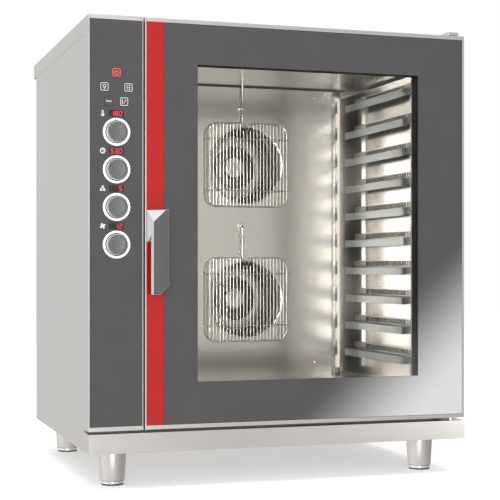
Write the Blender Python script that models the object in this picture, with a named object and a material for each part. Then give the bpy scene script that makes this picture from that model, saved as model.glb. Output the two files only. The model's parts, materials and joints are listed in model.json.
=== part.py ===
"""Combi steamer oven for ten trays, modelled as separate named pieces.

Oven coordinates: x runs from the left side to the right, y from the door's face to the back,
and z up from the underside of the base.  place() moves them so that the world origin lies on
the floor, at the middle of the whole oven's box.  All sizes are in metres.
"""
import math

import bmesh
import bpy
from mathutils import Matrix, Vector

# ---- Casing -------------------------------------------------------------------------------
BODY_W = 0.930
BODY_H = 0.983
BODY_D = 0.752
COVER_OVERHANG = 0.042
COVER_FLANGE = 0.038
SHEET = 0.0015
GAP = 0.0003
DOOR_T = 0.050
GASKET_ROOM = 0.008
APRON_H = 0.0445
APRON_GAP = 0.0065
FRAME_T = 0.002
FOLD = 0.014

# ---- Cavity -------------------------------------------------------------------------------
CAV_LEFT_WALL = 0.0705
CAV_RIGHT_WALL = 0.071
CAV_FLOOR = 0.116
CAV_ROOF = 0.074
REAR_BAY = 0.1055
CAV_CORNER = 0.012
FAN_BAY = 0.1455
AIR_GAP = 0.041
BAFFLE_ROLL = 0.044
BAFFLE_RETURN = 0.050

# ---- Tray racks ---------------------------------------------------------------------------
LEVEL_PITCH = 0.075
FIRST_LEVEL = 0.058
RUNNER_FRONT = 0.093
RUNNER_PAST_BAFFLE = 0.012
RACK_TOP_ROOM = 0.030
RUNNER_FACE = 0.035
RUNNER_H = 0.0195
RUNNER_BACK_STRIP = 0.0185

# ---- Fans, guards, heaters and water ------------------------------------------------------
FAN_SHARES = (0.7308, 0.2711)
INTAKE_R = 0.107
WHEEL_R = 0.086
WHEEL_INLET_R = 0.056
WHEEL_HUB_R = 0.0285
WHEEL_D = 0.038
WHEEL_BACK_GAP = 0.0085
BLADES = 16
SHAFT_R = 0.006
MOTOR_R = 0.048
MOTOR_L = 0.084
HEATER_R = 0.122
HEATER_ROD_R = 0.004
HEATER_LEG_IN = 0.020
HEATER_LEG_R = 0.0055
GUARD_W = 0.228
GUARD_H = 0.2245
GUARD_CORNER = 0.030
GUARD_BAR = 0.003
GUARD_BARS = 19
GUARD_STANDOFF = 0.010
WATER_R = 0.0035
WATER_OFFSET = -0.013
WATER_ELBOW_SHARE = 0.632

# ---- Control column -----------------------------------------------------------------------
COLUMN_W = 0.1245
COLUMN_SIDE_TRIM = 0.002
STRIP_TOP = 0.010
STRIP_BOTTOM = 0.0095
GLASS_T = 0.004
KNOB_X = 0.0625
KNOB_DROP = 0.2619
KNOB_PITCH = 0.0841
KNOB_RING_R = 0.03125
KNOB_CAP_R = 0.0243
KNOB_REACH = 0.010
KNOB_SHAFT_R = 0.003
DISPLAY_RISE = 0.0415
DISPLAY_W = 0.0328
DISPLAY_H = 0.0136
KEY_SIZE = 0.0196
KEY_TRAVEL = 0.0012
KEY_DROPS = {
    "key_power": (0.0, 0.1284),
    "key_lamp": (-0.0274, 0.1613),
    "key_programme": (0.0274, 0.1613),
    "key_steam_shot": (-0.0174, 0.1934),
    "key_vent": (0.0174, 0.1934),
}
KNOBS = ("temperature", "time", "steam", "fan")
BOARD_Y = 0.020
SWITCH_FRONT = BOARD_Y - 0.0045

# ---- Door ---------------------------------------------------------------------------------
DOOR_GAP = 0.004
DOOR_SIDE_GAP = 0.002
DOOR_TRIM_LEFT = 0.0035
DOOR_TRIM_RIGHT = 0.005
PANE_T = 0.005
LEDGE = 0.006
STRIPE_W = 0.041
PORT_LEFT = 0.045
PORT_RIGHT = 0.037
PORT_LOW = 0.012
PORT_HIGH = 0.015
PANE_LAP = 0.007
SEAL_LEFT_W = 0.019
SEAL_W = 0.023
HINGE_IN = 0.0315
HINGE_Y = 0.015
HINGE_W = 0.0275
HINGE_T = 0.0082
PIN_R = 0.005
HEEL_STEP = 0.013
GASKET_W = 0.012

# ---- Handle -------------------------------------------------------------------------------
HANDLE_LEFT = 0.0035
HANDLE_W = 0.0453
HANDLE_TOP = 0.547
HANDLE_LEN = 0.1905
HANDLE_REACH = 0.028
HANDLE_BAR_T = 0.010
HANDLE_ROOT_H = 0.073
HANDLE_LEAN = 0.0095
HANDLE_CUT = 0.0205
SPINDLE_R = 0.008

# ---- Feet and services --------------------------------------------------------------------
FOOT_H = 0.084
FOOT_SIDE_IN = 0.075
FOOT_FRONT_IN = 0.100
FOOT_BACK_IN = 0.067
FOOT_TOP_R = 0.03275
FOOT_LOW_R = 0.028
FOOT_SCREW_R = 0.022
PAD_R = 0.026
VENT_R = 0.025
VENT_RISE = 0.025
DRAIN_R = 0.020
SERVICE_REACH = 0.024

# ---- Places worked out from the sizes above -----------------------------------------------
RIGHT = BODY_W
MODULE_D = DOOR_T + GASKET_ROOM
COVER_D = BODY_D + COVER_OVERHANG
PANEL_BOTTOM = APRON_H + APRON_GAP
PANEL_TOP = BODY_H
GLASS_BOTTOM = PANEL_BOTTOM + STRIP_BOTTOM
GLASS_TOP = PANEL_TOP - STRIP_TOP
DOOR_X0 = COLUMN_W + DOOR_GAP
DOOR_X1 = RIGHT - DOOR_SIDE_GAP
CAV_X0 = DOOR_X0 + CAV_LEFT_WALL
CAV_X1 = RIGHT - CAV_RIGHT_WALL
CAV_TOP = BODY_H - CAV_ROOF
CAV_BACK = BODY_D - REAR_BAY
CAV_H = CAV_TOP - CAV_FLOOR
CAV_MID = (CAV_X0 + CAV_X1) / 2
CAV_FRONT = MODULE_D + FRAME_T + GAP
BAFFLE_Y = CAV_BACK - FAN_BAY
BAFFLE_W = CAV_X1 - CAV_X0 - 2 * AIR_GAP
RUNNER_BACK = BAFFLE_Y + RUNNER_PAST_BAFFLE
RACK_ROOM = CAV_H - FIRST_LEVEL - RUNNER_H - RUNNER_BACK_STRIP - RACK_TOP_ROOM / 2
LEVELS = 1 + math.floor(RACK_ROOM / LEVEL_PITCH)
FAN_Z = tuple(CAV_FLOOR + share * CAV_H for share in FAN_SHARES)
KNOB_TOP_Z = PANEL_TOP - KNOB_DROP
WHEEL_Y1 = CAV_BACK - WHEEL_BACK_GAP
WHEEL_Y0 = WHEEL_Y1 - WHEEL_D
HEATER_LEG_DROP = math.sqrt(HEATER_R ** 2 - HEATER_LEG_IN ** 2)
GUARD_Y0 = BAFFLE_Y - GUARD_STANDOFF - GUARD_BAR
WATER_X = CAV_MID + WATER_OFFSET
WATER_Y = GUARD_Y0 + GUARD_BAR / 2
DOOR_Z0 = PANEL_BOTTOM + 0.0005
DOOR_Z1 = PANEL_TOP - 0.0005
STRIPE_X0 = DOOR_X0 + DOOR_TRIM_LEFT
STRIPE_X1 = STRIPE_X0 + STRIPE_W
PANE_X1 = DOOR_X1 - DOOR_TRIM_RIGHT
HINGE_X = RIGHT - HINGE_IN
SPINDLE_X = DOOR_X0 + HANDLE_LEFT + HANDLE_W / 2
SPINDLE_Z = HANDLE_TOP - HANDLE_ROOT_H / 2
KEEPER_X = SPINDLE_X + 0.021
KEEPER_Z = SPINDLE_Z - 0.016
VENT_X = CAV_X1 - 0.150
VENT_Y = (BAFFLE_Y + BAFFLE_RETURN + CAV_BACK) / 2
DRAIN_Y = 0.300
DRAIN_Z = 0.040
LAMP_Y = 0.230
LAMP_Z = CAV_FLOOR + FIRST_LEVEL + (LEVELS - 2.25) * LEVEL_PITCH
LAMP_R = 0.016
FEET = {
    "fl": (FOOT_SIDE_IN, FOOT_FRONT_IN),
    "fr": (RIGHT - FOOT_SIDE_IN, FOOT_FRONT_IN),
    "rl": (FOOT_SIDE_IN, BODY_D - FOOT_BACK_IN),
    "rr": (RIGHT - FOOT_SIDE_IN, BODY_D - FOOT_BACK_IN),
}
SHIFT = Vector((-BODY_W / 2, -(COVER_D - HANDLE_REACH) / 2, FOOT_H))
AXES = {"X": Vector((1, 0, 0)), "Y": Vector((0, 1, 0)), "Z": Vector((0, 0, 1))}


# ---- Building blocks ----------------------------------------------------------------------
def clear_scene():
    """Remove every object that the start-up scene holds."""
    for obj in list(bpy.data.objects):
        bpy.data.objects.remove(obj, do_unlink=True)


def make_material(name, colour, roughness, metallic, alpha=1.0):
    """A Principled material, made once and then shared by name."""
    if name in bpy.data.materials:
        return bpy.data.materials[name]
    material = bpy.data.materials.new(name)
    material.use_nodes = True
    shader = material.node_tree.nodes["Principled BSDF"]
    shader.inputs["Base Color"].default_value = (*colour, 1.0)
    shader.inputs["Roughness"].default_value = roughness
    shader.inputs["Metallic"].default_value = metallic
    shader.inputs["Alpha"].default_value = alpha
    material.diffuse_color = (*colour, alpha)
    return material


def steel():
    return make_material("stainless_brushed", (0.62, 0.61, 0.59), 0.32, 1.0)


def bright_steel():
    return make_material("stainless_bright", (0.72, 0.71, 0.69), 0.18, 1.0)


def dark_glass():
    return make_material("glass_printed_grey", (0.10, 0.10, 0.105), 0.08, 0.0)


def clear_glass():
    return make_material("glass_clear", (0.86, 0.89, 0.88), 0.03, 0.0, 0.3)


def red_trim():
    return make_material("trim_red", (0.50, 0.028, 0.030), 0.30, 0.0)


def black_rubber():
    return make_material("rubber_black", (0.025, 0.025, 0.026), 0.75, 0.0)


def grey_plastic():
    return make_material("plastic_grey", (0.24, 0.24, 0.26), 0.40, 0.0)


def display_black():
    return make_material("display_black", (0.020, 0.016, 0.018), 0.15, 0.0)


def board_green():
    return make_material("board_green", (0.035, 0.16, 0.07), 0.55, 0.0)


def zinc():
    return make_material("zinc_plate", (0.50, 0.50, 0.48), 0.45, 1.0)


def box(x, y, z):
    """A block between the two limits given for each axis."""
    bm = bmesh.new()
    bmesh.ops.create_cube(bm, size=1.0)
    size = Vector((x[1] - x[0], y[1] - y[0], z[1] - z[0]))
    middle = Vector((x[0] + x[1], y[0] + y[1], z[0] + z[1])) / 2
    bmesh.ops.scale(bm, vec=size, verts=bm.verts)
    bmesh.ops.translate(bm, vec=middle, verts=bm.verts)
    return bm


def rounded_box(x, y, z, radius, axis="Y", segments=3):
    """A block whose four edges along one axis are rounded."""
    bm = box(x, y, z)
    along = [e for e in bm.edges
             if abs((e.verts[0].co - e.verts[1].co).normalized().dot(AXES[axis])) > 0.99]
    bmesh.ops.bevel(bm, geom=along, offset=radius, offset_type="OFFSET", segments=segments,
                    profile=0.5, affect="EDGES")
    return bm


def turned(profile, centre, axis="Z", segments=28):
    """A solid turned from (radius, height) points; heights run along the axis."""
    bm = bmesh.new()
    ring = [bm.verts.new((radius, 0.0, height)) for radius, height in profile]
    edges = [bm.edges.new((a, b)) for a, b in zip(ring, ring[1:])]
    if profile[0][0] > 1e-9 or profile[-1][0] > 1e-9:
        edges.append(bm.edges.new((ring[-1], ring[0])))
    bmesh.ops.spin(bm, geom=ring + edges, axis=(0, 0, 1), cent=(0, 0, 0), dvec=(0, 0, 0),
                   angle=math.tau, steps=segments, use_merge=True, use_duplicate=False)
    bmesh.ops.remove_doubles(bm, verts=bm.verts, dist=1e-7)
    bmesh.ops.recalc_face_normals(bm, faces=bm.faces)
    turn = AXES["Z"].rotation_difference(AXES[axis]).to_matrix().to_4x4()
    bmesh.ops.transform(bm, matrix=Matrix.Translation(centre) @ turn, verts=bm.verts)
    return bm


def rod(start, end, radius, segments=16):
    """A round rod between two points."""
    start, end = Vector(start), Vector(end)
    bm = bmesh.new()
    bmesh.ops.create_cone(bm, cap_ends=True, segments=segments, radius1=radius,
                          radius2=radius, depth=(end - start).length)
    turn = AXES["Z"].rotation_difference(end - start).to_matrix().to_4x4()
    move = Matrix.Translation((start + end) / 2) @ turn
    bmesh.ops.transform(bm, matrix=move, verts=bm.verts)
    return bm


def hoop(radius, rod_radius, centre, segments=28, sides=8):
    """A round rod bent into a closed ring that lies across the y axis."""
    bm = bmesh.new()
    ring = []
    for i in range(sides):
        angle = math.tau * i / sides
        x = radius + rod_radius * math.cos(angle)
        ring.append(bm.verts.new((x, 0.0, rod_radius * math.sin(angle))))
    edges = [bm.edges.new((ring[i], ring[(i + 1) % sides])) for i in range(sides)]
    bmesh.ops.spin(bm, geom=ring + edges, axis=(0, 0, 1), cent=(0, 0, 0), dvec=(0, 0, 0),
                   angle=math.tau, steps=segments, use_merge=True, use_duplicate=False)
    bmesh.ops.remove_doubles(bm, verts=bm.verts, dist=1e-7)
    bmesh.ops.recalc_face_normals(bm, faces=bm.faces)
    turn = AXES["Z"].rotation_difference(AXES["Y"]).to_matrix().to_4x4()
    bmesh.ops.transform(bm, matrix=Matrix.Translation(centre) @ turn, verts=bm.verts)
    return bm


def prism(outline, low, high, axis):
    """A closed 2-D outline pushed along an axis: (y, z) for X, (x, z) for Y, (x, y) for Z."""
    lift = {"X": lambda p, d: (d, p[0], p[1]), "Y": lambda p, d: (p[0], d, p[1]),
            "Z": lambda p, d: (p[0], p[1], d)}[axis]
    bm = bmesh.new()
    base = bm.faces.new([bm.verts.new(lift(p, low)) for p in outline])
    moved = bmesh.ops.extrude_face_region(bm, geom=[base])
    fresh = [v for v in moved["geom"] if isinstance(v, bmesh.types.BMVert)]
    bmesh.ops.translate(bm, vec=AXES[axis] * (high - low), verts=fresh)
    bmesh.ops.recalc_face_normals(bm, faces=bm.faces)
    return bm


def arc(centre, radius, start, end, steps=6):
    """Points on an arc between two angles in degrees."""
    angles = [math.radians(start + (end - start) * i / steps) for i in range(steps + 1)]
    return [(centre[0] + radius * math.cos(a), centre[1] + radius * math.sin(a))
            for a in angles]


def bent_pipe(points, radius, bend, sides=12):
    """A round pipe along straight runs, with rounded bends, made from a bevelled curve."""
    route = [Vector(points[0])]
    for before, corner, after in zip(points, points[1:], points[2:]):
        before, corner, after = Vector(before), Vector(corner), Vector(after)
        enter = corner + (before - corner).normalized() * bend
        leave = corner + (after - corner).normalized() * bend
        for i in range(6):
            t = i / 5
            route.append(enter * (1 - t) ** 2 + corner * 2 * t * (1 - t) + leave * t * t)
    route.append(Vector(points[-1]))
    curve = bpy.data.curves.new("pipe_route", "CURVE")
    curve.dimensions = "3D"
    curve.bevel_depth = radius
    curve.bevel_resolution = max(1, sides // 4)
    curve.use_fill_caps = True
    spline = curve.splines.new("POLY")
    spline.points.add(len(route) - 1)
    for point, place_at in zip(spline.points, route):
        point.co = (*place_at, 1.0)
    holder = bpy.data.objects.new("pipe_route", curve)
    bpy.context.scene.collection.objects.link(holder)
    mesh = bpy.data.meshes.new_from_object(holder)
    bm = bmesh.new()
    bm.from_mesh(mesh)
    bmesh.ops.remove_doubles(bm, verts=bm.verts, dist=1e-7)
    bmesh.ops.recalc_face_normals(bm, faces=bm.faces)
    bpy.data.objects.remove(holder)
    bpy.data.meshes.remove(mesh)
    bpy.data.curves.remove(curve)
    return bm


def gathered(shapes):
    """Several shapes that don't touch, as one bmesh."""
    whole = bmesh.new()
    for shape in shapes:
        mesh = bpy.data.meshes.new("shape")
        shape.to_mesh(mesh)
        shape.free()
        whole.from_mesh(mesh)
        bpy.data.meshes.remove(mesh)
    return whole


def mesh_object(name, bm):
    """Turn a bmesh into an object in the scene."""
    mesh = bpy.data.meshes.new(name)
    bm.to_mesh(mesh)
    bm.free()
    obj = bpy.data.objects.new(name, mesh)
    bpy.context.scene.collection.objects.link(obj)
    return obj


def place(name, material, parts, cuts=(), pivot=(0.0, 0.0, 0.0), parent=None):
    """Join the parts, take the cuts away, and put the piece where it belongs."""
    obj = mesh_object(name, parts[0])
    tools = []
    for operation, shapes in (("UNION", parts[1:]), ("DIFFERENCE", cuts)):
        for shape in shapes:
            tool = mesh_object("tool", shape)
            modifier = obj.modifiers.new(operation.title(), "BOOLEAN")
            modifier.operation = operation
            modifier.object = tool
            tools.append(tool)
    result = bpy.data.meshes.new_from_object(obj.evaluated_get(
        bpy.context.evaluated_depsgraph_get()))
    obj.modifiers.clear()
    rough = obj.data
    obj.data = result
    bpy.data.meshes.remove(rough)
    for tool in tools:
        bpy.data.meshes.remove(tool.data)
    result.name = name
    result.transform(Matrix.Translation(-Vector(pivot)))
    result.shade_smooth()
    result.set_sharp_from_angle(angle=math.radians(32))
    result.materials.clear()
    result.materials.append(material)
    obj.location = SHIFT + Vector(pivot)
    if parent is not None:
        obj.parent = parent
        obj.location = obj.location - parent.location
    return obj


# ---- Casing -------------------------------------------------------------------------------
def side_panel(name, outer, inward):
    """One side of the casing: a sheet with folds along its front, back and bottom."""
    def span(depth):
        return sorted((outer, outer + inward * depth))
    top = BODY_H - COVER_FLANGE - 0.0005
    front, back = CAV_FRONT, BODY_D - SHEET - GAP
    low = FRAME_T + GAP
    skin = box(span(SHEET), (MODULE_D, BODY_D), (0.0, top))
    front_fold = box(span(FOLD), (front, front + SHEET), (low, top))
    back_fold = box(span(FOLD), (back - SHEET, back), (low, top))
    bottom_fold = box(span(FOLD), (front, back), (low, low + SHEET))
    place(name, steel(), [skin, front_fold, back_fold, bottom_fold])


def back_panel():
    """The rear sheet, with holes for the services and a pressed stiffening field."""
    x = (SHEET + GAP, RIGHT - SHEET - GAP)
    sheet = box(x, (BODY_D - SHEET, BODY_D), (FRAME_T + GAP, BODY_H - COVER_FLANGE - 0.0005))
    field = rounded_box((CAV_X0, CAV_X1), (BODY_D - 0.001, BODY_D + 0.006),
                        (CAV_FLOOR + 0.05, CAV_TOP - 0.08), 0.02)
    hollow = rounded_box((CAV_X0 + SHEET, CAV_X1 - SHEET), (BODY_D - 0.01, BODY_D + 0.0045),
                         (CAV_FLOOR + 0.05 + SHEET, CAV_TOP - 0.08 - SHEET), 0.0185)
    holes = [rod((px, BODY_D - 0.01, pz), (px, BODY_D + 0.01, pz), radius + 0.001)
             for px, pz, radius in service_places()]
    place("back_panel", steel(), [sheet, field], [hollow] + holes)


def service_places():
    """The (x, z, radius) of each service that comes out of the back."""
    return (CAV_MID, DRAIN_Z, DRAIN_R), (0.120, 0.070, 0.0125), (0.220, 0.070, 0.0135)


def top_cover():
    """The lid: a sheet with flanges down both sides and the back, overhanging the back."""
    block = box((0.0, RIGHT), (MODULE_D, COVER_D), (BODY_H - COVER_FLANGE, BODY_H))
    inside = box((SHEET, RIGHT - SHEET), (MODULE_D - 0.01, COVER_D - SHEET),
                 (BODY_H - COVER_FLANGE - 0.01, BODY_H - SHEET))
    hole = rod((VENT_X, VENT_Y, BODY_H - 0.01), (VENT_X, VENT_Y, BODY_H + 0.01),
               VENT_R + 0.001, 32)
    place("top_cover", steel(), [block], [inside, hole])


def base_tray():
    """The bottom sheet with the front apron and its side returns and top lip."""
    front, side = MODULE_D - GAP, SHEET + 0.001
    floor = box((SHEET + GAP, RIGHT - SHEET - GAP), (front / 2, BODY_D - 0.002), (0.0, FRAME_T))
    apron = box((0.0, RIGHT), (0.0, front), (0.0, APRON_H))
    inside = box((side, RIGHT - side), (SHEET, front + 0.01), (FRAME_T, APRON_H - SHEET))
    pin_hole = rod((HINGE_X, HINGE_Y, APRON_H - 0.01), (HINGE_X, HINGE_Y, APRON_H + 0.01),
                   PIN_R + 0.0006)
    place("base_tray", steel(), [apron, floor], [inside, pin_hole])


def front_frame():
    """The plate behind the door and the control column, open at the cavity's mouth."""
    plate = box((SHEET + GAP, RIGHT - SHEET - GAP), (MODULE_D, MODULE_D + FRAME_T),
                (FRAME_T + GAP, BODY_H - SHEET - GAP))
    mouth = rounded_box((CAV_X0, CAV_X1), (MODULE_D - 0.01, MODULE_D + 0.01),
                        (CAV_FLOOR, CAV_TOP), CAV_CORNER)
    wiring = rounded_box((0.020, COLUMN_W - 0.015), (MODULE_D - 0.01, MODULE_D + 0.01),
                         (KNOB_TOP_Z - 3 * KNOB_PITCH, KNOB_TOP_Z + 0.12), 0.01)
    place("front_frame", steel(), [plate], [mouth, wiring])


# ---- Cavity -------------------------------------------------------------------------------
def cavity_liner():
    """The open-fronted steel chamber, with a flange round its mouth and service holes."""
    wall = SHEET
    outer = rounded_box((CAV_X0 - wall, CAV_X1 + wall), (CAV_FRONT, CAV_BACK + wall),
                        (CAV_FLOOR - wall, CAV_TOP + wall), CAV_CORNER + wall)
    flange = rounded_box((CAV_X0 - FOLD, CAV_X1 + FOLD), (CAV_FRONT, CAV_FRONT + wall),
                         (CAV_FLOOR - FOLD, CAV_TOP + FOLD), CAV_CORNER + FOLD)
    room = rounded_box((CAV_X0, CAV_X1), (CAV_FRONT - 0.01, CAV_BACK),
                       (CAV_FLOOR, CAV_TOP), CAV_CORNER)
    back = (CAV_BACK - 0.01, CAV_BACK + 0.01)
    holes = []
    for z in FAN_Z:
        holes.append(rod((CAV_MID, back[0], z), (CAV_MID, back[1], z), SHAFT_R + 0.004))
        for side in (-1, 1):
            x = CAV_MID + side * HEATER_LEG_IN
            low = z - HEATER_LEG_DROP
            holes.append(rod((x, back[0], low), (x, back[1], low), HEATER_LEG_R + 0.001))
    lower_z = lower_water_z()
    holes.append(rod((WATER_X, back[0], lower_z), (WATER_X, back[1], lower_z),
                     WATER_R + 0.001))
    holes.append(rod((WATER_X, WATER_Y, CAV_TOP - 0.01), (WATER_X, WATER_Y, CAV_TOP + 0.01),
                     WATER_R + 0.001))
    holes.append(rod((VENT_X, VENT_Y, CAV_TOP - 0.01), (VENT_X, VENT_Y, CAV_TOP + 0.01),
                     VENT_R - 0.003, 32))
    holes.append(rod((CAV_MID, DRAIN_Y, CAV_FLOOR - 0.01), (CAV_MID, DRAIN_Y, CAV_FLOOR + 0.01),
                     DRAIN_R + 0.0075, 32))
    holes.append(rod((CAV_X0 - 0.01, LAMP_Y, LAMP_Z), (CAV_X0 + 0.01, LAMP_Y, LAMP_Z),
                     LAMP_R + 0.0005, 32))
    place("cavity_liner", bright_steel(), [outer, flange], [room] + holes)


def fan_baffle():
    """The wall in front of the fans: two round intakes, and side edges rolled backwards."""
    left, right = CAV_MID - BAFFLE_W / 2, CAV_MID + BAFFLE_W / 2
    roll, thick = BAFFLE_ROLL, SHEET
    y0, y1 = BAFFLE_Y, BAFFLE_Y + BAFFLE_RETURN
    outline = [(left, y1)]
    outline += arc((left + roll, y0 + roll), roll, 180, 270)
    outline += arc((right - roll, y0 + roll), roll, 270, 360)
    outline += [(right, y1), (right - thick, y1)]
    outline += arc((right - roll, y0 + roll), roll - thick, 360, 270)
    outline += arc((left + roll, y0 + roll), roll - thick, 270, 180)
    outline += [(left + thick, y1)]
    sheet = prism(outline, CAV_FLOOR + GAP, CAV_TOP - GAP, "Z")
    posts = []
    for x in (left + 0.05, right - 0.05):
        for z in (CAV_FLOOR + 0.05, CAV_TOP - 0.05):
            posts.append(rod((x, y0 + thick / 2, z), (x, CAV_BACK - GAP, z), 0.005, 12))
    intakes = [rod((CAV_MID, y0 - 0.02, z), (CAV_MID, y0 + 0.02, z), INTAKE_R, 44)
               for z in FAN_Z]
    lower_z = lower_water_z()
    pipe_hole = rod((WATER_X, y0 - 0.01, lower_z), (WATER_X, y0 + 0.01, lower_z),
                    WATER_R + 0.001)
    place("fan_baffle", bright_steel(), [sheet] + posts, intakes + [pipe_hole])


def fan_guard(name, z):
    """The guard in front of one intake: upright bars, a rounded rim and two cross bars."""
    half_w, half_h, bar = GUARD_W / 2, GUARD_H / 2, GUARD_BAR
    y = (GUARD_Y0, GUARD_Y0 + bar)
    rim = rounded_box((CAV_MID - half_w, CAV_MID + half_w), y, (z - half_h, z + half_h),
                      GUARD_CORNER)
    rises = 0.31 * GUARD_H, -0.31 * GUARD_H
    crosses = []
    for rise in rises:
        crosses.append(box((CAV_MID - half_w - 0.008, CAV_MID + half_w + 0.008),
                           (y[0] - 0.001, y[1] - 0.0005), (z + rise - bar / 2, z + rise + bar / 2)))
        for side in (-1, 1):
            x = CAV_MID + side * (half_w + 0.005)
            crosses.append(box((x - 0.003, x + 0.003), (y[0], BAFFLE_Y - GAP),
                               (z + rise - bar / 2, z + rise + bar / 2)))
    pitch = (GUARD_W - bar) / GUARD_BARS
    slots = []
    for i in range(GUARD_BARS):
        low = CAV_MID - half_w + bar + i * pitch
        middle = low + (pitch - bar) / 2
        inset = abs(middle - CAV_MID) - (half_w - GUARD_CORNER)
        drop = 0.0
        if inset > 0:
            drop = GUARD_CORNER - math.sqrt(max(GUARD_CORNER ** 2 - inset ** 2, 0.0))
        reach = half_h - bar - drop
        edges = [-reach, rises[1] - bar / 2, rises[1] + bar / 2]
        edges += [rises[0] - bar / 2, rises[0] + bar / 2, reach]
        for a, b in zip(edges[::2], edges[1::2]):
            slots.append(box((low, low + pitch - bar), (y[0] - 0.01, y[1] + 0.01),
                             (z + a, z + b)))
    place(name, bright_steel(), [rim] + crosses, [gathered(slots)])


def lower_water_z():
    """The height at which the lower pipe comes through the baffle, between the guards."""
    low, high = FAN_Z[1] + GUARD_H / 2, FAN_Z[0] - GUARD_H / 2
    return low + WATER_ELBOW_SHARE * (high - low)


def water_pipes():
    """Two thin pipes that bring water to the fans, from the ceiling and through the baffle."""
    top = CAV_TOP + SHEET
    tip = FAN_Z[0] + GUARD_H / 2 + 0.001
    upper = rod((WATER_X, WATER_Y, tip), (WATER_X, WATER_Y, top + 0.022), WATER_R)
    nut = turned([(0.0, 0.0), (0.009, 0.0), (0.009, 0.005), (0.0, 0.005)],
                 (WATER_X, WATER_Y, top + GAP), "Z", 6)
    place("water_pipe_upper", bright_steel(), [upper, nut])
    tip = FAN_Z[1] + GUARD_H / 2 + 0.001
    z, back = lower_water_z(), CAV_BACK + SHEET
    lower = bent_pipe([(WATER_X, WATER_Y, tip), (WATER_X, WATER_Y, z), (WATER_X, back + 0.02, z)],
                      WATER_R, 0.007)
    nut = turned([(0.0, 0.0), (0.009, 0.0), (0.009, 0.005), (0.0, 0.005)],
                 (WATER_X, back + GAP, z), "Y", 6)
    place("water_pipe_lower", bright_steel(), [lower, nut])


def fan_wheel(name, z):
    """A radial wheel: back plate with hub and shaft, upright blades and an inlet ring."""
    centre = (CAV_MID, WHEEL_Y1, z)
    depth = WHEEL_D
    plate = turned([(0.0, -depth), (WHEEL_HUB_R - 0.004, -depth), (WHEEL_HUB_R, 0.004 - depth),
                    (WHEEL_HUB_R, -0.002), (WHEEL_R, -0.002), (WHEEL_R, 0.0),
                    (SHAFT_R, 0.0), (SHAFT_R, 0.030), (0.0, 0.030)], centre, "Y", 32)
    ring = turned([(WHEEL_INLET_R, -depth), (WHEEL_R, -depth), (WHEEL_R, 0.002 - depth),
                   (WHEEL_INLET_R, 0.002 - depth)], centre, "Y", 32)
    blades = []
    for i in range(BLADES):
        piece = box((WHEEL_INLET_R + 0.004, WHEEL_R - 0.001), (-depth + 0.001, -0.001),
                    (-0.0008, 0.0008))
        lean = Matrix.Translation((WHEEL_INLET_R + 0.004, 0, 0)) @ Matrix.Rotation(
            math.radians(24), 4, "Y") @ Matrix.Translation((-WHEEL_INLET_R - 0.004, 0, 0))
        turn = Matrix.Rotation(math.tau * i / BLADES, 4, "Y")
        bmesh.ops.transform(piece, matrix=Matrix.Translation(centre) @ turn @ lean,
                            verts=piece.verts)
        blades.append(piece)
    place(name, bright_steel(), [plate, ring, gathered(blades)], pivot=centre)


def fan_motor(name, z):
    """A motor behind the liner, with a blind bore round the wheel's shaft."""
    y0 = CAV_BACK + SHEET + GAP
    body = turned([(0.0, 0.0), (MOTOR_R + 0.012, 0.0), (MOTOR_R + 0.012, 0.004),
                   (MOTOR_R, 0.004), (MOTOR_R, MOTOR_L - 0.010),
                   (MOTOR_R - 0.010, MOTOR_L), (0.0, MOTOR_L)], (CAV_MID, y0, z), "Y")
    terminals = box((CAV_MID + MOTOR_R - 0.010, CAV_MID + MOTOR_R + 0.020),
                    (y0 + 0.020, y0 + 0.060), (z - 0.020, z + 0.020))
    bore = rod((CAV_MID, y0 - 0.01, z), (CAV_MID, y0 + 0.032, z), SHAFT_R + 0.0008)
    place(name, zinc(), [body, terminals], [bore])


def heater(name, z):
    """A heating rod bent twice round the fan wheel, with two legs through the back wall."""
    y0, y1 = WHEEL_Y0 + 0.008, WHEEL_Y0 + 0.024
    coils = [hoop(HEATER_R, HEATER_ROD_R, (CAV_MID, y, z)) for y in (y0, y1)]
    legs = []
    low = z - HEATER_LEG_DROP
    for side in (-1, 1):
        x = CAV_MID + side * HEATER_LEG_IN
        legs.append(rod((x, y0, low), (x, CAV_BACK + SHEET + 0.018, low), HEATER_LEG_R, 12))
    place(name, zinc(), coils + legs)


def tray_rack(name, face, outward):
    """Ten angled runners on two uprights; face is the inner edge of the runners."""
    wall = face + outward * (RUNNER_FACE - GAP)
    thick = SHEET

    def across(a, b):
        return tuple(sorted((a, b)))

    parts = []
    for y in (RUNNER_FRONT + 0.060, RUNNER_BACK - 0.050):
        top = CAV_FLOOR + FIRST_LEVEL + (LEVELS - 1) * LEVEL_PITCH + 0.045
        parts.append(box(across(wall - outward * 0.006, wall), (y, y + 0.020),
                         (CAV_FLOOR + 0.030, top)))
    for level in range(LEVELS):
        z = CAV_FLOOR + FIRST_LEVEL + level * LEVEL_PITCH
        strip = wall - outward * 0.004
        outline = [(face, z), (face + outward * thick, z),
                   (face + outward * thick, z + RUNNER_H - thick),
                   (strip - outward * thick, z + RUNNER_H - thick),
                   (strip, z + RUNNER_H - thick),
                   (strip, z + RUNNER_H + RUNNER_BACK_STRIP),
                   (strip - outward * thick, z + RUNNER_H + RUNNER_BACK_STRIP),
                   (strip - outward * thick, z + RUNNER_H),
                   (face, z + RUNNER_H)]
        parts.append(prism(outline, RUNNER_FRONT, RUNNER_BACK, "Y"))
    place(name, bright_steel(), parts)


def cavity_lamp():
    """A small round lamp, flush in the left wall, with its housing behind the wall."""
    wall = CAV_X0 - SHEET
    place("cavity_lamp", clear_glass(), [
        turned([(0.0, -0.030), (0.024, -0.030), (0.024, -GAP), (LAMP_R, -GAP),
                (LAMP_R, SHEET + 0.0005), (0.0, SHEET + 0.0005)], (wall, LAMP_Y, LAMP_Z), "X", 32)])


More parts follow.
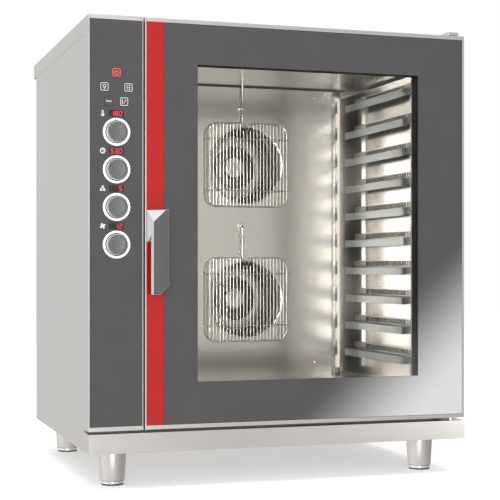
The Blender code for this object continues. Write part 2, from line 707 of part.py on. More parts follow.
def drain():
    """The floor strainer, and the pipe that leads from it out through the back."""
    rim = DRAIN_R + 0.014
    skirt = DRAIN_R + 0.006
    strainer = turned([(0.0, 0.0), (skirt - 0.002, 0.0), (skirt - 0.002, -0.016), (skirt, -0.016),
                       (skirt, 0.0), (rim, 0.0), (rim - 0.001, 0.002), (0.0, 0.002)],
                      (CAV_MID, DRAIN_Y, CAV_FLOOR + GAP), "Z")
    slots = [box((CAV_MID - 0.016, CAV_MID + 0.016), (DRAIN_Y + s - 0.0015, DRAIN_Y + s + 0.0015),
                 (CAV_FLOOR - 0.01, CAV_FLOOR + 0.01)) for s in (-0.012, -0.006, 0.0, 0.006, 0.012)]
    place("drain_strainer", bright_steel(), [strainer], slots)
    top = CAV_FLOOR - SHEET - GAP
    cup = turned([(0.0, top - 0.030), (DRAIN_R + 0.010, top - 0.030), (DRAIN_R + 0.010, top),
                  (0.0, top)], (CAV_MID, DRAIN_Y, 0.0), "Z")
    end = BODY_D + SERVICE_REACH
    pipe = bent_pipe([(CAV_MID, DRAIN_Y, top - 0.020), (CAV_MID, DRAIN_Y, DRAIN_Z),
                      (CAV_MID, end, DRAIN_Z)], DRAIN_R, 0.022)
    socket = rod((CAV_MID, DRAIN_Y, top - 0.026), (CAV_MID, DRAIN_Y, top + 0.01),
                 DRAIN_R + 0.0078, 32)
    bore = rod((CAV_MID, end - 0.030, DRAIN_Z), (CAV_MID, end + 0.01, DRAIN_Z), DRAIN_R - 0.003, 32)
    place("drain_pipe", bright_steel(), [cup, pipe], [socket, bore])


def exhaust_vent():
    """The open steam outlet from the cavity's ceiling up through the lid."""
    low = CAV_TOP + SHEET + GAP
    high = BODY_H + VENT_RISE
    tube = [(VENT_R - 0.0015, low), (VENT_R + 0.010, low), (VENT_R + 0.010, low + 0.002),
            (VENT_R, low + 0.002), (VENT_R, high), (VENT_R - 0.0015, high)]
    place("exhaust_vent", steel(), [turned(tube, (VENT_X, VENT_Y, 0.0), "Z")])


def services():
    """The cable gland and the water inlet on the back panel."""
    _, gland, inlet = service_places()
    y = BODY_D + GAP
    body = turned([(0.0, -0.016), (gland[2], -0.016), (gland[2], 0.0), (0.018, 0.0),
                   (0.018, 0.008), (0.014, 0.009), (0.014, 0.020), (0.010, 0.022), (0.0, 0.022)],
                  (gland[0], y, gland[1]), "Y", 24)
    mouth = rod((gland[0], y + 0.005, gland[1]), (gland[0], y + 0.03, gland[1]), 0.006)
    place("cable_gland", grey_plastic(), [body], [mouth])
    valve = turned([(0.0, -0.050), (0.020, -0.050), (0.020, -0.006), (inlet[2], -0.006),
                    (inlet[2], 0.0), (0.019, 0.0), (0.019, 0.005), (0.013, 0.005),
                    (0.013, SERVICE_REACH), (0.0, SERVICE_REACH)], (inlet[0], y, inlet[1]), "Y", 32)
    mouth = rod((inlet[0], y + 0.004, inlet[1]), (inlet[0], y + 0.05, inlet[1]), 0.0085)
    place("water_inlet", zinc(), [valve], [mouth])


# ---- Control column -----------------------------------------------------------------------
def control_fascia():
    """The steel tray round the control glass; its side is the oven's front left corner."""
    tray = box((0.0, COLUMN_W), (0.0, MODULE_D - GAP), (PANEL_BOTTOM, PANEL_TOP))
    side = COLUMN_SIDE_TRIM
    seat = box((side, COLUMN_W - side), (-0.01, GLASS_T + GAP), (GLASS_BOTTOM, GLASS_TOP))
    hollow = box((side + 0.002, COLUMN_W - side - 0.002), (0.0, MODULE_D + 0.01),
                 (GLASS_BOTTOM + 0.0035, GLASS_TOP - 0.0035))
    place("control_fascia", steel(), [tray], [seat, hollow])


def key_places():
    """Each key's offset from the knobs' line, and its height."""
    return {name: (offset, PANEL_TOP - drop) for name, (offset, drop) in KEY_DROPS.items()}


def knob_heights():
    """The heights of the knobs' shafts, from the top one down."""
    return [KNOB_TOP_Z - i * KNOB_PITCH for i in range(len(KNOBS))]


def control_glass():
    """The printed glass, with holes for the knobs' shafts, the keys and the displays."""
    side = COLUMN_SIDE_TRIM + GAP
    glass = box((side, COLUMN_W - side), (0.0, GLASS_T), (GLASS_BOTTOM + GAP, GLASS_TOP - GAP))
    through = (-0.01, 0.02)
    cuts = []
    for z in knob_heights():
        cuts.append(rod((KNOB_X, -0.01, z), (KNOB_X, 0.02, z), KNOB_SHAFT_R + 0.001))
        top = z + DISPLAY_RISE
        cuts.append(box((KNOB_X - DISPLAY_W / 2 - GAP, KNOB_X + DISPLAY_W / 2 + GAP), through,
                        (top - DISPLAY_H / 2 - GAP, top + DISPLAY_H / 2 + GAP)))
    half = KEY_SIZE / 2 + 0.0004
    for offset, z in key_places().values():
        x = KNOB_X + offset
        cuts.append(rounded_box((x - half, x + half), through, (z - half, z + half), 0.003))
    place("control_glass", dark_glass(), [glass], [gathered(cuts)])


def display(name, z):
    """A display: its lens fills a window in the glass, and its case is wider behind it."""
    half_w, half_h = DISPLAY_W / 2, DISPLAY_H / 2
    lens = box((KNOB_X - half_w, KNOB_X + half_w), (GAP, GLASS_T + 0.002), (z - half_h, z + half_h))
    case = box((KNOB_X - half_w - 0.003, KNOB_X + half_w + 0.003),
               (GLASS_T + GAP, BOARD_Y - 0.004), (z - half_h - 0.002, z + half_h + 0.002))
    place(name, display_black(), [lens, case])


def knob(name, z):
    """A knob: a low cap inside a collar, on a shaft that reaches its encoder."""
    ring, cap, top = KNOB_RING_R, KNOB_CAP_R, KNOB_REACH
    profile = [(0.0, -top), (cap - 0.004, -top), (cap - 0.001, 0.0015 - top),
               (cap, 0.004 - top), (cap, -0.0015), (ring - 0.0050, -0.0015),
               (ring - 0.0045, -0.0042), (ring - 0.0036, -0.0050), (ring - 0.0008, -0.0050),
               (ring, -0.0042), (ring, -GAP), (KNOB_SHAFT_R, -GAP),
               (KNOB_SHAFT_R, SWITCH_FRONT), (0.0, SWITCH_FRONT)]
    centre = (KNOB_X, 0.0, z)
    place(name, grey_plastic(), [turned(profile, centre, "Y", 28)], pivot=centre)


def key(name, x, z):
    """A push key: a square cap in its hole, a wider flange behind the glass, and a stem."""
    half = KEY_SIZE / 2
    cap = rounded_box((x - half, x + half), (-0.0012, GLASS_T + 0.001), (z - half, z + half), 0.0028)
    flange = box((x - half - 0.001, x + half + 0.001), (GLASS_T + GAP, GLASS_T + 0.002),
                 (z - half - 0.001, z + half + 0.001))
    stem = rod((x, GLASS_T, z), (x, SWITCH_FRONT, z), 0.0025, 16)
    place(name, grey_plastic(), [cap, flange, stem], pivot=(x, 0.0, z))


def control_board():
    """The circuit board behind the glass, with a switch or an encoder for each control."""
    low = knob_heights()[-1] - 0.035
    high = key_places()["key_power"][1] + 0.020
    plate = box((0.010, COLUMN_W - 0.010), (BOARD_Y, BOARD_Y + 0.0016), (low, high))
    front = SWITCH_FRONT + KEY_TRAVEL + GAP
    parts = [plate]
    for z in knob_heights():
        parts.append(box((KNOB_X - 0.007, KNOB_X + 0.007), (BOARD_Y - 0.0040, BOARD_Y + 0.001),
                         (z - 0.007, z + 0.007)))
    for offset, z in key_places().values():
        x = KNOB_X + offset
        parts.append(box((x - 0.004, x + 0.004), (front, BOARD_Y + 0.001), (z - 0.004, z + 0.004)))
    place("control_board", board_green(), parts)


# ---- Door ---------------------------------------------------------------------------------
def door_frame():
    """The door's steel shell: trims round the panes, a hollow, and a rear plate."""
    z = (DOOR_Z0, DOOR_Z1)
    shell = box((DOOR_X0, DOOR_X1), (0.0, DOOR_T), z)
    heel = box((DOOR_X1 - HEEL_STEP, DOOR_X1 + 0.01), (DOOR_T / 2, DOOR_T + 0.01),
               (z[0] - 0.01, z[1] + 0.01))
    seat = box((STRIPE_X0, PANE_X1), (-0.01, PANE_T + 2 * GAP), (GLASS_BOTTOM, GLASS_TOP))
    hollow = box((STRIPE_X0 + LEDGE, DOOR_X1 - HEEL_STEP - 0.003), (0.0, DOOR_T - FRAME_T),
                 (GLASS_BOTTOM + LEDGE, GLASS_TOP - LEDGE))
    window = box((CAV_X0 + PORT_LEFT, CAV_X1 - PORT_RIGHT), (0.0, DOOR_T + 0.01),
                 (CAV_FLOOR + PORT_LOW, CAV_TOP - PORT_HIGH))
    slot = box((KEEPER_X - 0.009, KEEPER_X + 0.009), (DOOR_T - 0.01, DOOR_T + 0.01),
               (KEEPER_Z - 0.009, KEEPER_Z + 0.009))
    pin = rod((HINGE_X, HINGE_Y, z[0] - 0.01), (HINGE_X, HINGE_Y, z[1] + 0.01), PIN_R + 0.0006)
    return place("door_frame", steel(), [shell], [heel, seat, hollow, window, slot, pin],
                 pivot=(HINGE_X, HINGE_Y, 0.0))


def door_panes(frame):
    """The red stripe, the printed outer pane, the clear inner pane and its dark seal."""
    z = (GLASS_BOTTOM + GAP, GLASS_TOP - GAP)
    y = (0.0002, PANE_T + GAP)
    stripe = box((STRIPE_X0 + GAP, STRIPE_X1), y, z)
    hole = rod((SPINDLE_X, -0.01, SPINDLE_Z), (SPINDLE_X, 0.02, SPINDLE_Z), SPINDLE_R + 0.0006)
    place("door_stripe", red_trim(), [stripe], [hole], parent=frame)
    outer = box((STRIPE_X1 + GAP, PANE_X1 - GAP), y, z)
    place("door_outer_glass", dark_glass(), [outer], parent=frame)
    x = (CAV_X0 + PORT_LEFT - PANE_LAP, CAV_X1 - PORT_RIGHT + PANE_LAP)
    span = (CAV_FLOOR + PORT_LOW - PANE_LAP, CAV_TOP - PORT_HIGH + PANE_LAP)
    back = DOOR_T - FRAME_T - GAP
    inner = box(x, (back - PANE_T, back), span)
    place("door_inner_glass", clear_glass(), [inner], parent=frame)
    front = back - PANE_T - GAP
    ring = box(x, (front - 0.004, front), span)
    opening = box((x[0] + SEAL_LEFT_W, x[1] - SEAL_W), (front - 0.01, front + 0.01),
                  (span[0] + SEAL_LEFT_W, span[1] - SEAL_LEFT_W))
    place("door_window_seal", black_rubber(), [ring], [opening], parent=frame)


def door_handle(frame):
    """The lever: a leaning bar with a root, cut corners, a spindle and a latch tongue."""
    left, right = DOOR_X0 + HANDLE_LEFT, DOOR_X0 + HANDLE_LEFT + HANDLE_W
    low, root = HANDLE_TOP - HANDLE_LEN, HANDLE_TOP - HANDLE_ROOT_H
    back = -0.0005
    inner = -HANDLE_REACH + HANDLE_BAR_T
    curve = [(back + (inner - back) * t, root + (HANDLE_ROOT_H * 0.25) * t * t)
             for t in (i / 6 for i in range(7))]
    outline = [(-HANDLE_REACH, HANDLE_TOP), (back, HANDLE_TOP)] + curve
    outline += [(inner, low), (-HANDLE_REACH, low)]
    bar = prism(outline, left, right, "X")
    face_left = left + HANDLE_LEAN
    top_right = Vector((right - 0.0079, -HANDLE_REACH, HANDLE_TOP))
    top_left = Vector((face_left, -HANDLE_REACH, HANDLE_TOP - 0.0273))
    corner = Vector((left, 0.0, HANDLE_TOP))
    cuts = (
        (corner, Vector((-HANDLE_REACH, -HANDLE_LEAN, 0.0))),
        (corner, (top_right - corner).cross(top_left - corner)),
        (Vector((right, 0.0, low + HANDLE_CUT)), Vector((HANDLE_CUT, 0.0, -HANDLE_CUT))),
    )
    middle = Vector(((face_left + right) / 2, -HANDLE_REACH / 2, (low + HANDLE_TOP) / 2))
    for point, normal in cuts:
        if normal.dot(middle - point) > 0:
            normal = -normal
        sliced = bmesh.ops.bisect_plane(bar, geom=bar.verts[:] + bar.edges[:] + bar.faces[:],
                                        dist=1e-7, plane_co=point, plane_no=normal,
                                        clear_outer=True)
        rim = [e for e in sliced["geom_cut"] if isinstance(e, bmesh.types.BMEdge)]
        bmesh.ops.holes_fill(bar, edges=rim)
    bmesh.ops.recalc_face_normals(bar, faces=bar.faces)
    end = DOOR_T - 0.007
    spindle = rod((SPINDLE_X, back - 0.004, SPINDLE_Z), (SPINDLE_X, end, SPINDLE_Z), SPINDLE_R)
    tongue = box((SPINDLE_X - 0.009, SPINDLE_X + 0.032), (end - 0.006, end),
                 (SPINDLE_Z - 0.005, SPINDLE_Z + 0.005))
    place("door_handle", steel(), [bar, spindle, tongue],
          pivot=(SPINDLE_X, 0.0, SPINDLE_Z), parent=frame)


def door_fittings():
    """The gasket round the mouth, the latch keeper, and the two hinge brackets."""
    y = (DOOR_T + GAP, MODULE_D - GAP)
    grow = GASKET_W
    ring = rounded_box((CAV_X0 - grow, CAV_X1 + grow), y, (CAV_FLOOR - grow, CAV_TOP + grow),
                       CAV_CORNER + grow)
    mouth = rounded_box((CAV_X0, CAV_X1), (y[0] - 0.01, y[1] + 0.01), (CAV_FLOOR, CAV_TOP),
                        CAV_CORNER)
    place("door_gasket", black_rubber(), [ring], [mouth])
    plate = box((KEEPER_X - 0.010, KEEPER_X + 0.010), (MODULE_D - 0.003, MODULE_D - GAP),
                (KEEPER_Z - 0.016, KEEPER_Z + 0.016))
    stud = rod((KEEPER_X, DOOR_T - 0.010, KEEPER_Z), (KEEPER_X, MODULE_D - 0.002, KEEPER_Z), 0.005)
    place("latch_keeper", zinc(), [plate, stud])
    x = (HINGE_X - HINGE_W / 2 + 0.001, HINGE_X + HINGE_W / 2 + 0.001)
    plate = rounded_box(x, (0.0, MODULE_D + 0.055), (BODY_H + GAP, BODY_H + GAP + HINGE_T), 0.002,
                        "Z", 3)
    pin = rod((HINGE_X, HINGE_Y, GLASS_TOP - 0.004), (HINGE_X, HINGE_Y, BODY_H + 0.003), PIN_R)
    place("hinge_upper", steel(), [plate, pin])
    top = APRON_H - SHEET - GAP
    plate = box((HINGE_X - 0.020, HINGE_X + 0.020), (SHEET + 0.002, MODULE_D - 0.001),
                (top - 0.006, top))
    pin = rod((HINGE_X, HINGE_Y, top - 0.003), (HINGE_X, HINGE_Y, GLASS_BOTTOM + 0.003), PIN_R)
    washer = turned([(0.0, APRON_H + GAP), (0.008, APRON_H + GAP), (0.008, DOOR_Z0 - 0.0005),
                     (0.0, DOOR_Z0 - 0.0005)], (HINGE_X, HINGE_Y, 0.0), "Z", 24)
    place("hinge_lower", steel(), [plate, pin, washer])


# ---- Feet ---------------------------------------------------------------------------------
def foot(label, x, y):
    """A tapered sleeve under the base, and the screwed foot that comes out of it."""
    low = -FOOT_H + 0.011
    sleeve = turned([(0.0, -GAP), (FOOT_TOP_R, -GAP), (FOOT_LOW_R, low), (0.0, low)],
                    (x, y, 0.0), "Z")
    bore = rod((x, y, low - 0.01), (x, y, -0.006), FOOT_SCREW_R + 0.0005, 40)
    place("foot_sleeve_" + label, steel(), [sleeve], [bore])
    step = FOOT_LOW_R - 0.0008
    screw = turned([(0.0, -0.012), (FOOT_SCREW_R, -0.012), (FOOT_SCREW_R, low - 0.001),
                    (step, low - 0.001), (step, -FOOT_H + 0.0035), (PAD_R, -FOOT_H + 0.0035),
                    (PAD_R, -FOOT_H), (0.0, -FOOT_H)], (x, y, 0.0), "Z")
    place("foot_" + label, bright_steel(), [screw], pivot=(x, y, -FOOT_H))


def main():
    clear_scene()
    side_panel("left_side_panel", 0.0, 1)
    side_panel("right_side_panel", RIGHT, -1)
    back_panel()
    top_cover()
    base_tray()
    front_frame()
    cavity_liner()
    fan_baffle()
    for label, z in zip(("upper", "lower"), FAN_Z):
        fan_guard("fan_guard_" + label, z)
        fan_wheel("fan_wheel_" + label, z)
        fan_motor("fan_motor_" + label, z)
        heater("heater_" + label, z)
    water_pipes()
    tray_rack("rack_left", CAV_X0 + RUNNER_FACE, -1)
    tray_rack("rack_right", CAV_X1 - RUNNER_FACE, 1)
    cavity_lamp()
    drain()
    exhaust_vent()
    services()
    control_fascia()
    control_glass()
    for label, z in zip(KNOBS, knob_heights()):
        display("display_" + label, z + DISPLAY_RISE)
        knob("knob_" + label, z)
    for name, (offset, z) in key_places().items():
        key(name, KNOB_X + offset, z)
    control_board()
    frame = door_frame()
    door_panes(frame)
    door_handle(frame)
    door_fittings()
    for label, (x, y) in FEET.items():
        foot(label, x, y)


main()
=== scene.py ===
# %% [markdown]
# # A combi steamer oven, dressed for its picture
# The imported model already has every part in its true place: casing, door, racks, fans and feet.
# This file gives each part the surface that one sees on the real oven. Thin sheets get softened
# folds, and everything round, wired or printed is worked out again as a fine numpy surface.

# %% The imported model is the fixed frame
import json
import math

import bmesh
import bpy
import numpy as np
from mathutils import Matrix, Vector

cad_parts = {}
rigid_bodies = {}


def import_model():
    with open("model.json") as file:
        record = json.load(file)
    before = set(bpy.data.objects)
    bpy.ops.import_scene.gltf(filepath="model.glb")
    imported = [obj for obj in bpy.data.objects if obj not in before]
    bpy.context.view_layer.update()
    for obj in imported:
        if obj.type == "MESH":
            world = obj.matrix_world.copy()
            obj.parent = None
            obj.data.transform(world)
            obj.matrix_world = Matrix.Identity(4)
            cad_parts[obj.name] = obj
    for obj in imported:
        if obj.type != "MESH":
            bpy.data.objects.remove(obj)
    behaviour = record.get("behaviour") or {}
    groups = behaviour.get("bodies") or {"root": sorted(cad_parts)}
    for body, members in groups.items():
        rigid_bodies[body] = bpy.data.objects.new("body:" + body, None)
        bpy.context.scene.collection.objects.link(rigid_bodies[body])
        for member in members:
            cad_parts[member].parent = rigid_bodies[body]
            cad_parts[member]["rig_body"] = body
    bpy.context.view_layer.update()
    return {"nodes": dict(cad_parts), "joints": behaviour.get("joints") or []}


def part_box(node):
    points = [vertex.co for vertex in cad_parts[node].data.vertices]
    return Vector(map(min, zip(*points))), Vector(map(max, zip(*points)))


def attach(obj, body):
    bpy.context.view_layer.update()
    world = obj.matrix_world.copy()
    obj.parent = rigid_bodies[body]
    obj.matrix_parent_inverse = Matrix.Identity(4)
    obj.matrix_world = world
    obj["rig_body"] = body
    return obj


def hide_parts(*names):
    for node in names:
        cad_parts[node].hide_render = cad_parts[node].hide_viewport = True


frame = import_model()
AXIS_AT = {joint["name"]: joint.get("pos_m") for joint in frame["joints"]}

# %% [markdown]
# ## Places read from the frame
# Every later size starts at one of these boxes, so a new size in the CAD moves the looks too.
# The front plane is the outer face of the two glass panels, and it carries all of the prints.
# The liner's box ends at its flange, which stands out round the cavity by its own width.


# %% Boxes of the main parts
def corners(node):
    """The lowest and highest corner of a CAD node, as two numpy rows."""
    low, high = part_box(node)
    return np.array(low), np.array(high)


def middle_of(node):
    """The x and z of the middle of a node's box."""
    low, high = corners(node)
    return float(low[0] + high[0]) / 2, float(low[2] + high[2]) / 2


PANE_LOW, PANE_HIGH = corners("door_outer_glass")
BAFFLE_LOW = corners("fan_baffle")[0]
LINER_LOW, LINER_HIGH = corners("cavity_liner")
FRONT = float(corners("control_glass")[0][1])
CAVITY_MID = middle_of("fan_baffle")[0]
BAFFLE_FACE = float(BAFFLE_LOW[1])
LINER_FLANGE = 0.014
CAVITY_FLOOR = float(LINER_LOW[2]) + LINER_FLANGE
CAVITY_CEILING = float(LINER_HIGH[2]) - LINER_FLANGE
CAVITY_LEFT = float(LINER_LOW[0]) + LINER_FLANGE
CAVITY_RIGHT = float(LINER_HIGH[0]) - LINER_FLANGE
print("front plane", round(FRONT, 4), "cavity floor", round(CAVITY_FLOOR, 4))

# %% [markdown]
# ## Surfaces from arrays
# A piece could be pushed and pulled by hand, but then a new size means doing it again. Here a
# shape is a table of points, a ring of them for each step along it, and one rule ties ring to
# ring with faces. Seams are then merged, and the faces are turned outwards.


# %% From points to a finished piece
def finish_piece(name, points, faces, material, body, slot, sharp=34.0):
    """One mesh from (n, 3) points and face tuples, merged, facing out and riding on a body."""
    mesh = bpy.data.meshes.new(name)
    mesh.from_pydata(np.asarray(points).tolist(), [], faces)
    shape = bmesh.new()
    shape.from_mesh(mesh)
    bmesh.ops.remove_doubles(shape, verts=shape.verts, dist=1e-6)
    bmesh.ops.recalc_face_normals(shape, faces=shape.faces)
    shape.to_mesh(mesh)
    shape.free()
    mesh.shade_smooth()
    mesh.set_sharp_from_angle(angle=math.radians(sharp))
    mesh.materials.append(material)
    piece = bpy.data.objects.new(name, mesh)
    bpy.context.scene.collection.objects.link(piece)
    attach(piece, body)
    return piece


def ring_faces(rows, columns, start=0, around=True, ends=True):
    """Faces of a (rows, columns) table of points: each cell joins four neighbours, a closed
    ring joins its last point to its first, and the two end rings are filled."""
    cell = np.arange(columns if around else columns - 1)
    low = (np.arange(rows - 1)[:, None] * columns + cell).ravel() + start
    step = np.where(cell == columns - 1, 1 - columns, 1)
    step = np.tile(step, rows - 1)
    quads = np.stack([low, low + step, low + step + columns, low + columns], 1)
    faces = [tuple(quad) for quad in quads.tolist()]
    if ends:
        faces.append(tuple(range(start, start + columns)))
        faces.append(tuple(range(start + (rows - 1) * columns, start + rows * columns)))
    return faces


def joined(parts):
    """Several (points, faces) pairs as one pair, with the face numbers moved on."""
    points, faces, count = [], [], 0
    for some_points, some_faces in parts:
        points.append(np.asarray(some_points, float).reshape(-1, 3))
        faces += [tuple(i + count for i in face) for face in some_faces]
        count += len(points[-1])
    return np.vstack(points), faces


print("mesh helpers ready")

# %% [markdown]
# ## Turned, swept and stamped shapes
# Knobs, feet and screws are turned: a profile of radius and reach goes round an axis. Wires and
# pipes are a circle carried along a path, kept square to it. Flat prints are an outline with a
# little thickness, as a layer of ink has.


# %% Turned shapes
def turned(profile, centre, axis, steps=64):
    """Profile points (r, h) go round the axis: centre + h * axis + r * (u cos a + v sin a)."""
    axis = np.asarray(axis, float)
    side = np.array([0.0, 0.0, 1.0]) if abs(axis[2]) < 0.5 else np.array([1.0, 0.0, 0.0])
    other = np.cross(axis, side)
    angle = np.linspace(0, math.tau, steps, endpoint=False)
    radius, reach = np.asarray(profile, float).T
    circle = np.cos(angle)[:, None] * side + np.sin(angle)[:, None] * other
    points = np.asarray(centre) + reach[:, None, None] * axis
    points = points + radius[:, None, None] * circle[None]
    closed = profile[0][0] > 0 or profile[-1][0] > 0
    rows = len(profile)
    if closed:
        points = np.concatenate([points, points[:1]])
        rows += 1
    return points.reshape(-1, 3), ring_faces(rows, steps, ends=False)


def fillet(corner, before, after, radius, steps=5):
    """Points that round a profile's corner: a quadratic curve from radius before to after it."""
    corner, before, after = (np.asarray(p, float) for p in (corner, before, after))
    enter = corner + (before - corner) / np.linalg.norm(before - corner) * radius
    leave = corner + (after - corner) / np.linalg.norm(after - corner) * radius
    t = np.linspace(0, 1, steps)[:, None]
    return list(map(tuple, enter * (1 - t) ** 2 + 2 * corner * t * (1 - t) + leave * t * t))


def eased(profile, radius, steps=5):
    """A profile whose inner corners are all rounded by the same radius."""
    points = [tuple(profile[0])]
    for before, corner, after in zip(profile, profile[1:], profile[2:]):
        points += fillet(corner, before, after, radius, steps)
    return points + [tuple(profile[-1])]


# %% Wires and pipes
def tube(path, radius, sides=10, closed=False):
    """A circle carried along a path. Its two directions are each step's own normal pair, made
    from the path's direction and the direction that the path spreads least in. A step that runs
    along that direction borrows the pair of the step before it."""
    path = np.asarray(path, float)
    if closed:
        along = np.roll(path, -1, 0) - np.roll(path, 1, 0)
    else:
        along = np.gradient(path, axis=0)
    along /= np.linalg.norm(along, axis=1)[:, None]
    spread = np.linalg.svd(path - path.mean(0))[2][2]
    first = np.cross(along, spread)
    size = np.linalg.norm(first, axis=1)
    firm = np.where(size > 0.15, np.arange(len(path)), -1)
    lender = np.maximum.accumulate(firm)
    lender[lender < 0] = lender[lender >= 0][0]
    first = first[lender] / size[lender][:, None]
    second = np.cross(along, first)
    angle = np.linspace(0, math.tau, sides, endpoint=False)
    points = path[:, None] + radius * (np.cos(angle)[None, :, None] * first[:, None]
                                       + np.sin(angle)[None, :, None] * second[:, None])
    rows = len(path)
    if closed:
        points = np.concatenate([points, points[:1]])
        rows += 1
    return points.reshape(-1, 3), ring_faces(rows, sides, ends=not closed)


def bent(corner_points, bend, steps=6):
    """A path through corner points, each corner rounded by a quadratic curve."""
    corner_points = [np.asarray(p, float) for p in corner_points]
    path = [corner_points[0]]
    for before, corner, after in zip(corner_points, corner_points[1:], corner_points[2:]):
        path += [np.array(p) for p in fillet(corner, before, after, bend, steps)]
    path.append(corner_points[-1])
    return np.array(path)


# %% Blocks and stamped outlines
BLOCK_FACES = [(0, 1, 3, 2), (4, 6, 7, 5), (0, 4, 5, 1), (2, 3, 7, 6), (0, 2, 6, 4), (1, 5, 7, 3)]


def blocks(lows, highs):
    """Many small blocks at once: eight corners each, picked from the two limits."""
    lows, highs = (np.asarray(a, float).reshape(-1, 3) for a in (lows, highs))
    pick = np.array([[i, j, k] for i in (0, 1) for j in (0, 1) for k in (0, 1)], float)
    points = lows[:, None] + pick[None] * (highs - lows)[:, None]
    faces = [tuple(8 * n + i for i in face) for n in range(len(lows)) for face in BLOCK_FACES]
    return points.reshape(-1, 3), faces


def stamped(outline, back, front):
    """A flat outline of (x, z) points given thickness along y."""
    outline = np.asarray(outline, float)
    rings = np.stack([np.column_stack([outline[:, 0], np.full(len(outline), y), outline[:, 1]])
                      for y in (back, front)])
    return rings.reshape(-1, 3), ring_faces(2, len(outline))


def circle_outline(x, z, radius, steps=40, start=0.0, end=math.tau):
    """Points on an arc: centre plus radius times cosine and sine of the angle."""
    angle = np.linspace(start, end, steps, endpoint=abs(end - start) < math.tau - 1e-6)
    return np.column_stack([x + radius * np.cos(angle), z + radius * np.sin(angle)])


def rounded_outline(x0, x1, z0, z1, radius, steps=8):
    """A rectangle whose four corners are quarter circles."""
    turns = ((x1 - radius, z1 - radius, 0), (x0 + radius, z1 - radius, 1),
             (x0 + radius, z0 + radius, 2), (x1 - radius, z0 + radius, 3))
    quarter = math.pi / 2
    return np.vstack([circle_outline(x, z, radius, steps, quarter * n, quarter * (n + 1) - 1e-6)
                      for x, z, n in turns])


def band(outline, width, back, front, closed=True):
    """A printed line: the outline moved in and out by half the width, with thickness along y."""
    outline = np.asarray(outline, float)
    if closed:
        along = np.roll(outline, -1, 0) - np.roll(outline, 1, 0)
    else:
        along = np.gradient(outline, axis=0)
    along /= np.linalg.norm(along, axis=1)[:, None]
    aside = np.column_stack([along[:, 1], -along[:, 0]]) * width / 2
    corners_of = [(outline + aside, front), (outline - aside, front),
                  (outline - aside, back), (outline + aside, back)]
    rings = np.stack([np.column_stack([p[:, 0], np.full(len(p), y), p[:, 1]])
                      for p, y in corners_of], 1)
    rows = len(outline)
    if closed:
        rings = np.concatenate([rings, rings[:1]])
        rows += 1
    return rings.reshape(-1, 3), ring_faces(rows, 4, ends=not closed)


print("shape helpers ready")

# %% [markdown]
# ## Sheet metal with soft folds
# Folded sheet never has a razor edge: the fold catches the light as a thin bright line. The CAD
# part is right but sharp, so a copy of it is merged, its flat faces are joined, and its edges
# are rounded by a fraction of a millimetre. Normals are then weighted by face size, which keeps
# the large faces flat.


# %% A softened copy of a CAD part
def softened(node, material, radius=0.0004, angle=28.0, name=None):
    """A merged copy of the node with every edge sharper than the angle rounded."""
    shape = bmesh.new()
    shape.from_mesh(frame["nodes"][node].data)
    bmesh.ops.remove_doubles(shape, verts=shape.verts, dist=1e-6)
    bmesh.ops.dissolve_limit(shape, angle_limit=math.radians(0.4), verts=shape.verts,
                             edges=shape.edges)
    hard = [edge for edge in shape.edges
            if edge.is_manifold and edge.calc_face_angle() > math.radians(angle)]
    bmesh.ops.bevel(shape, geom=hard, offset=radius, segments=2, profile=0.6,
                    affect="EDGES", clamp_overlap=True)
    mesh = bpy.data.meshes.new(name or node)
    shape.to_mesh(mesh)
    shape.free()
    mesh.shade_smooth()
    mesh.set_sharp_from_angle(angle=math.radians(44))
    mesh.materials.clear()
    mesh.materials.append(material)
    piece = bpy.data.objects.new((name or node) + "_skin", mesh)
    bpy.context.scene.collection.objects.link(piece)
    weights = piece.modifiers.new("Weighted normals", "WEIGHTED_NORMAL")
    weights.keep_sharp = True
    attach(piece, frame["nodes"][node]["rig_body"])
    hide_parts(node)
    return piece


print("softening ready")

# %% [markdown]
# ## Finishes
# Each finish is a node tree on object coordinates, so a grain keeps its size on every part.
# Brushed steel is the main one: very long, very thin streaks that change the roughness and the
# height a little, over a slow cloud of handling marks.


# %% Node helpers
NOISE_LOW, NOISE_HIGH = 0.25, 0.75


def new_finish(name, colour, roughness, metallic=0.0, **sockets):
    """A Principled material with plain values on its sockets, its tree and its shader."""
    material = bpy.data.materials.new(name)
    material.use_nodes = True
    tree = material.node_tree
    shader = tree.nodes["Principled BSDF"]
    shader.inputs["Base Color"].default_value = (*colour, 1.0)
    shader.inputs["Roughness"].default_value = roughness
    shader.inputs["Metallic"].default_value = metallic
    for socket, value in sockets.items():
        shader.inputs[socket.replace("_", " ")].default_value = value
    material.diffuse_color = (*colour, 1.0)
    return material, tree, shader


def grain(tree, stretch, detail=3.0, roughness=0.6):
    """Noise on object coordinates; stretch says how many features fit in a metre, per axis."""
    where = tree.nodes.new("ShaderNodeTexCoord")
    mapping = tree.nodes.new("ShaderNodeMapping")
    mapping.inputs["Scale"].default_value = stretch
    noise = tree.nodes.new("ShaderNodeTexNoise")
    noise.inputs["Scale"].default_value = 1.0
    noise.inputs["Detail"].default_value = detail
    noise.inputs["Roughness"].default_value = roughness
    tree.links.new(where.outputs["Object"], mapping.inputs["Vector"])
    tree.links.new(mapping.outputs["Vector"], noise.inputs["Vector"])
    return noise.outputs["Fac"]


def ranged(tree, value, low, high):
    """The value spread over the range from low to high."""
    spread = tree.nodes.new("ShaderNodeMapRange")
    spread.inputs["From Min"].default_value = NOISE_LOW
    spread.inputs["From Max"].default_value = NOISE_HIGH
    spread.inputs["To Min"].default_value = low
    spread.inputs["To Max"].default_value = high
    tree.links.new(value, spread.inputs["Value"])
    return spread.outputs["Result"]


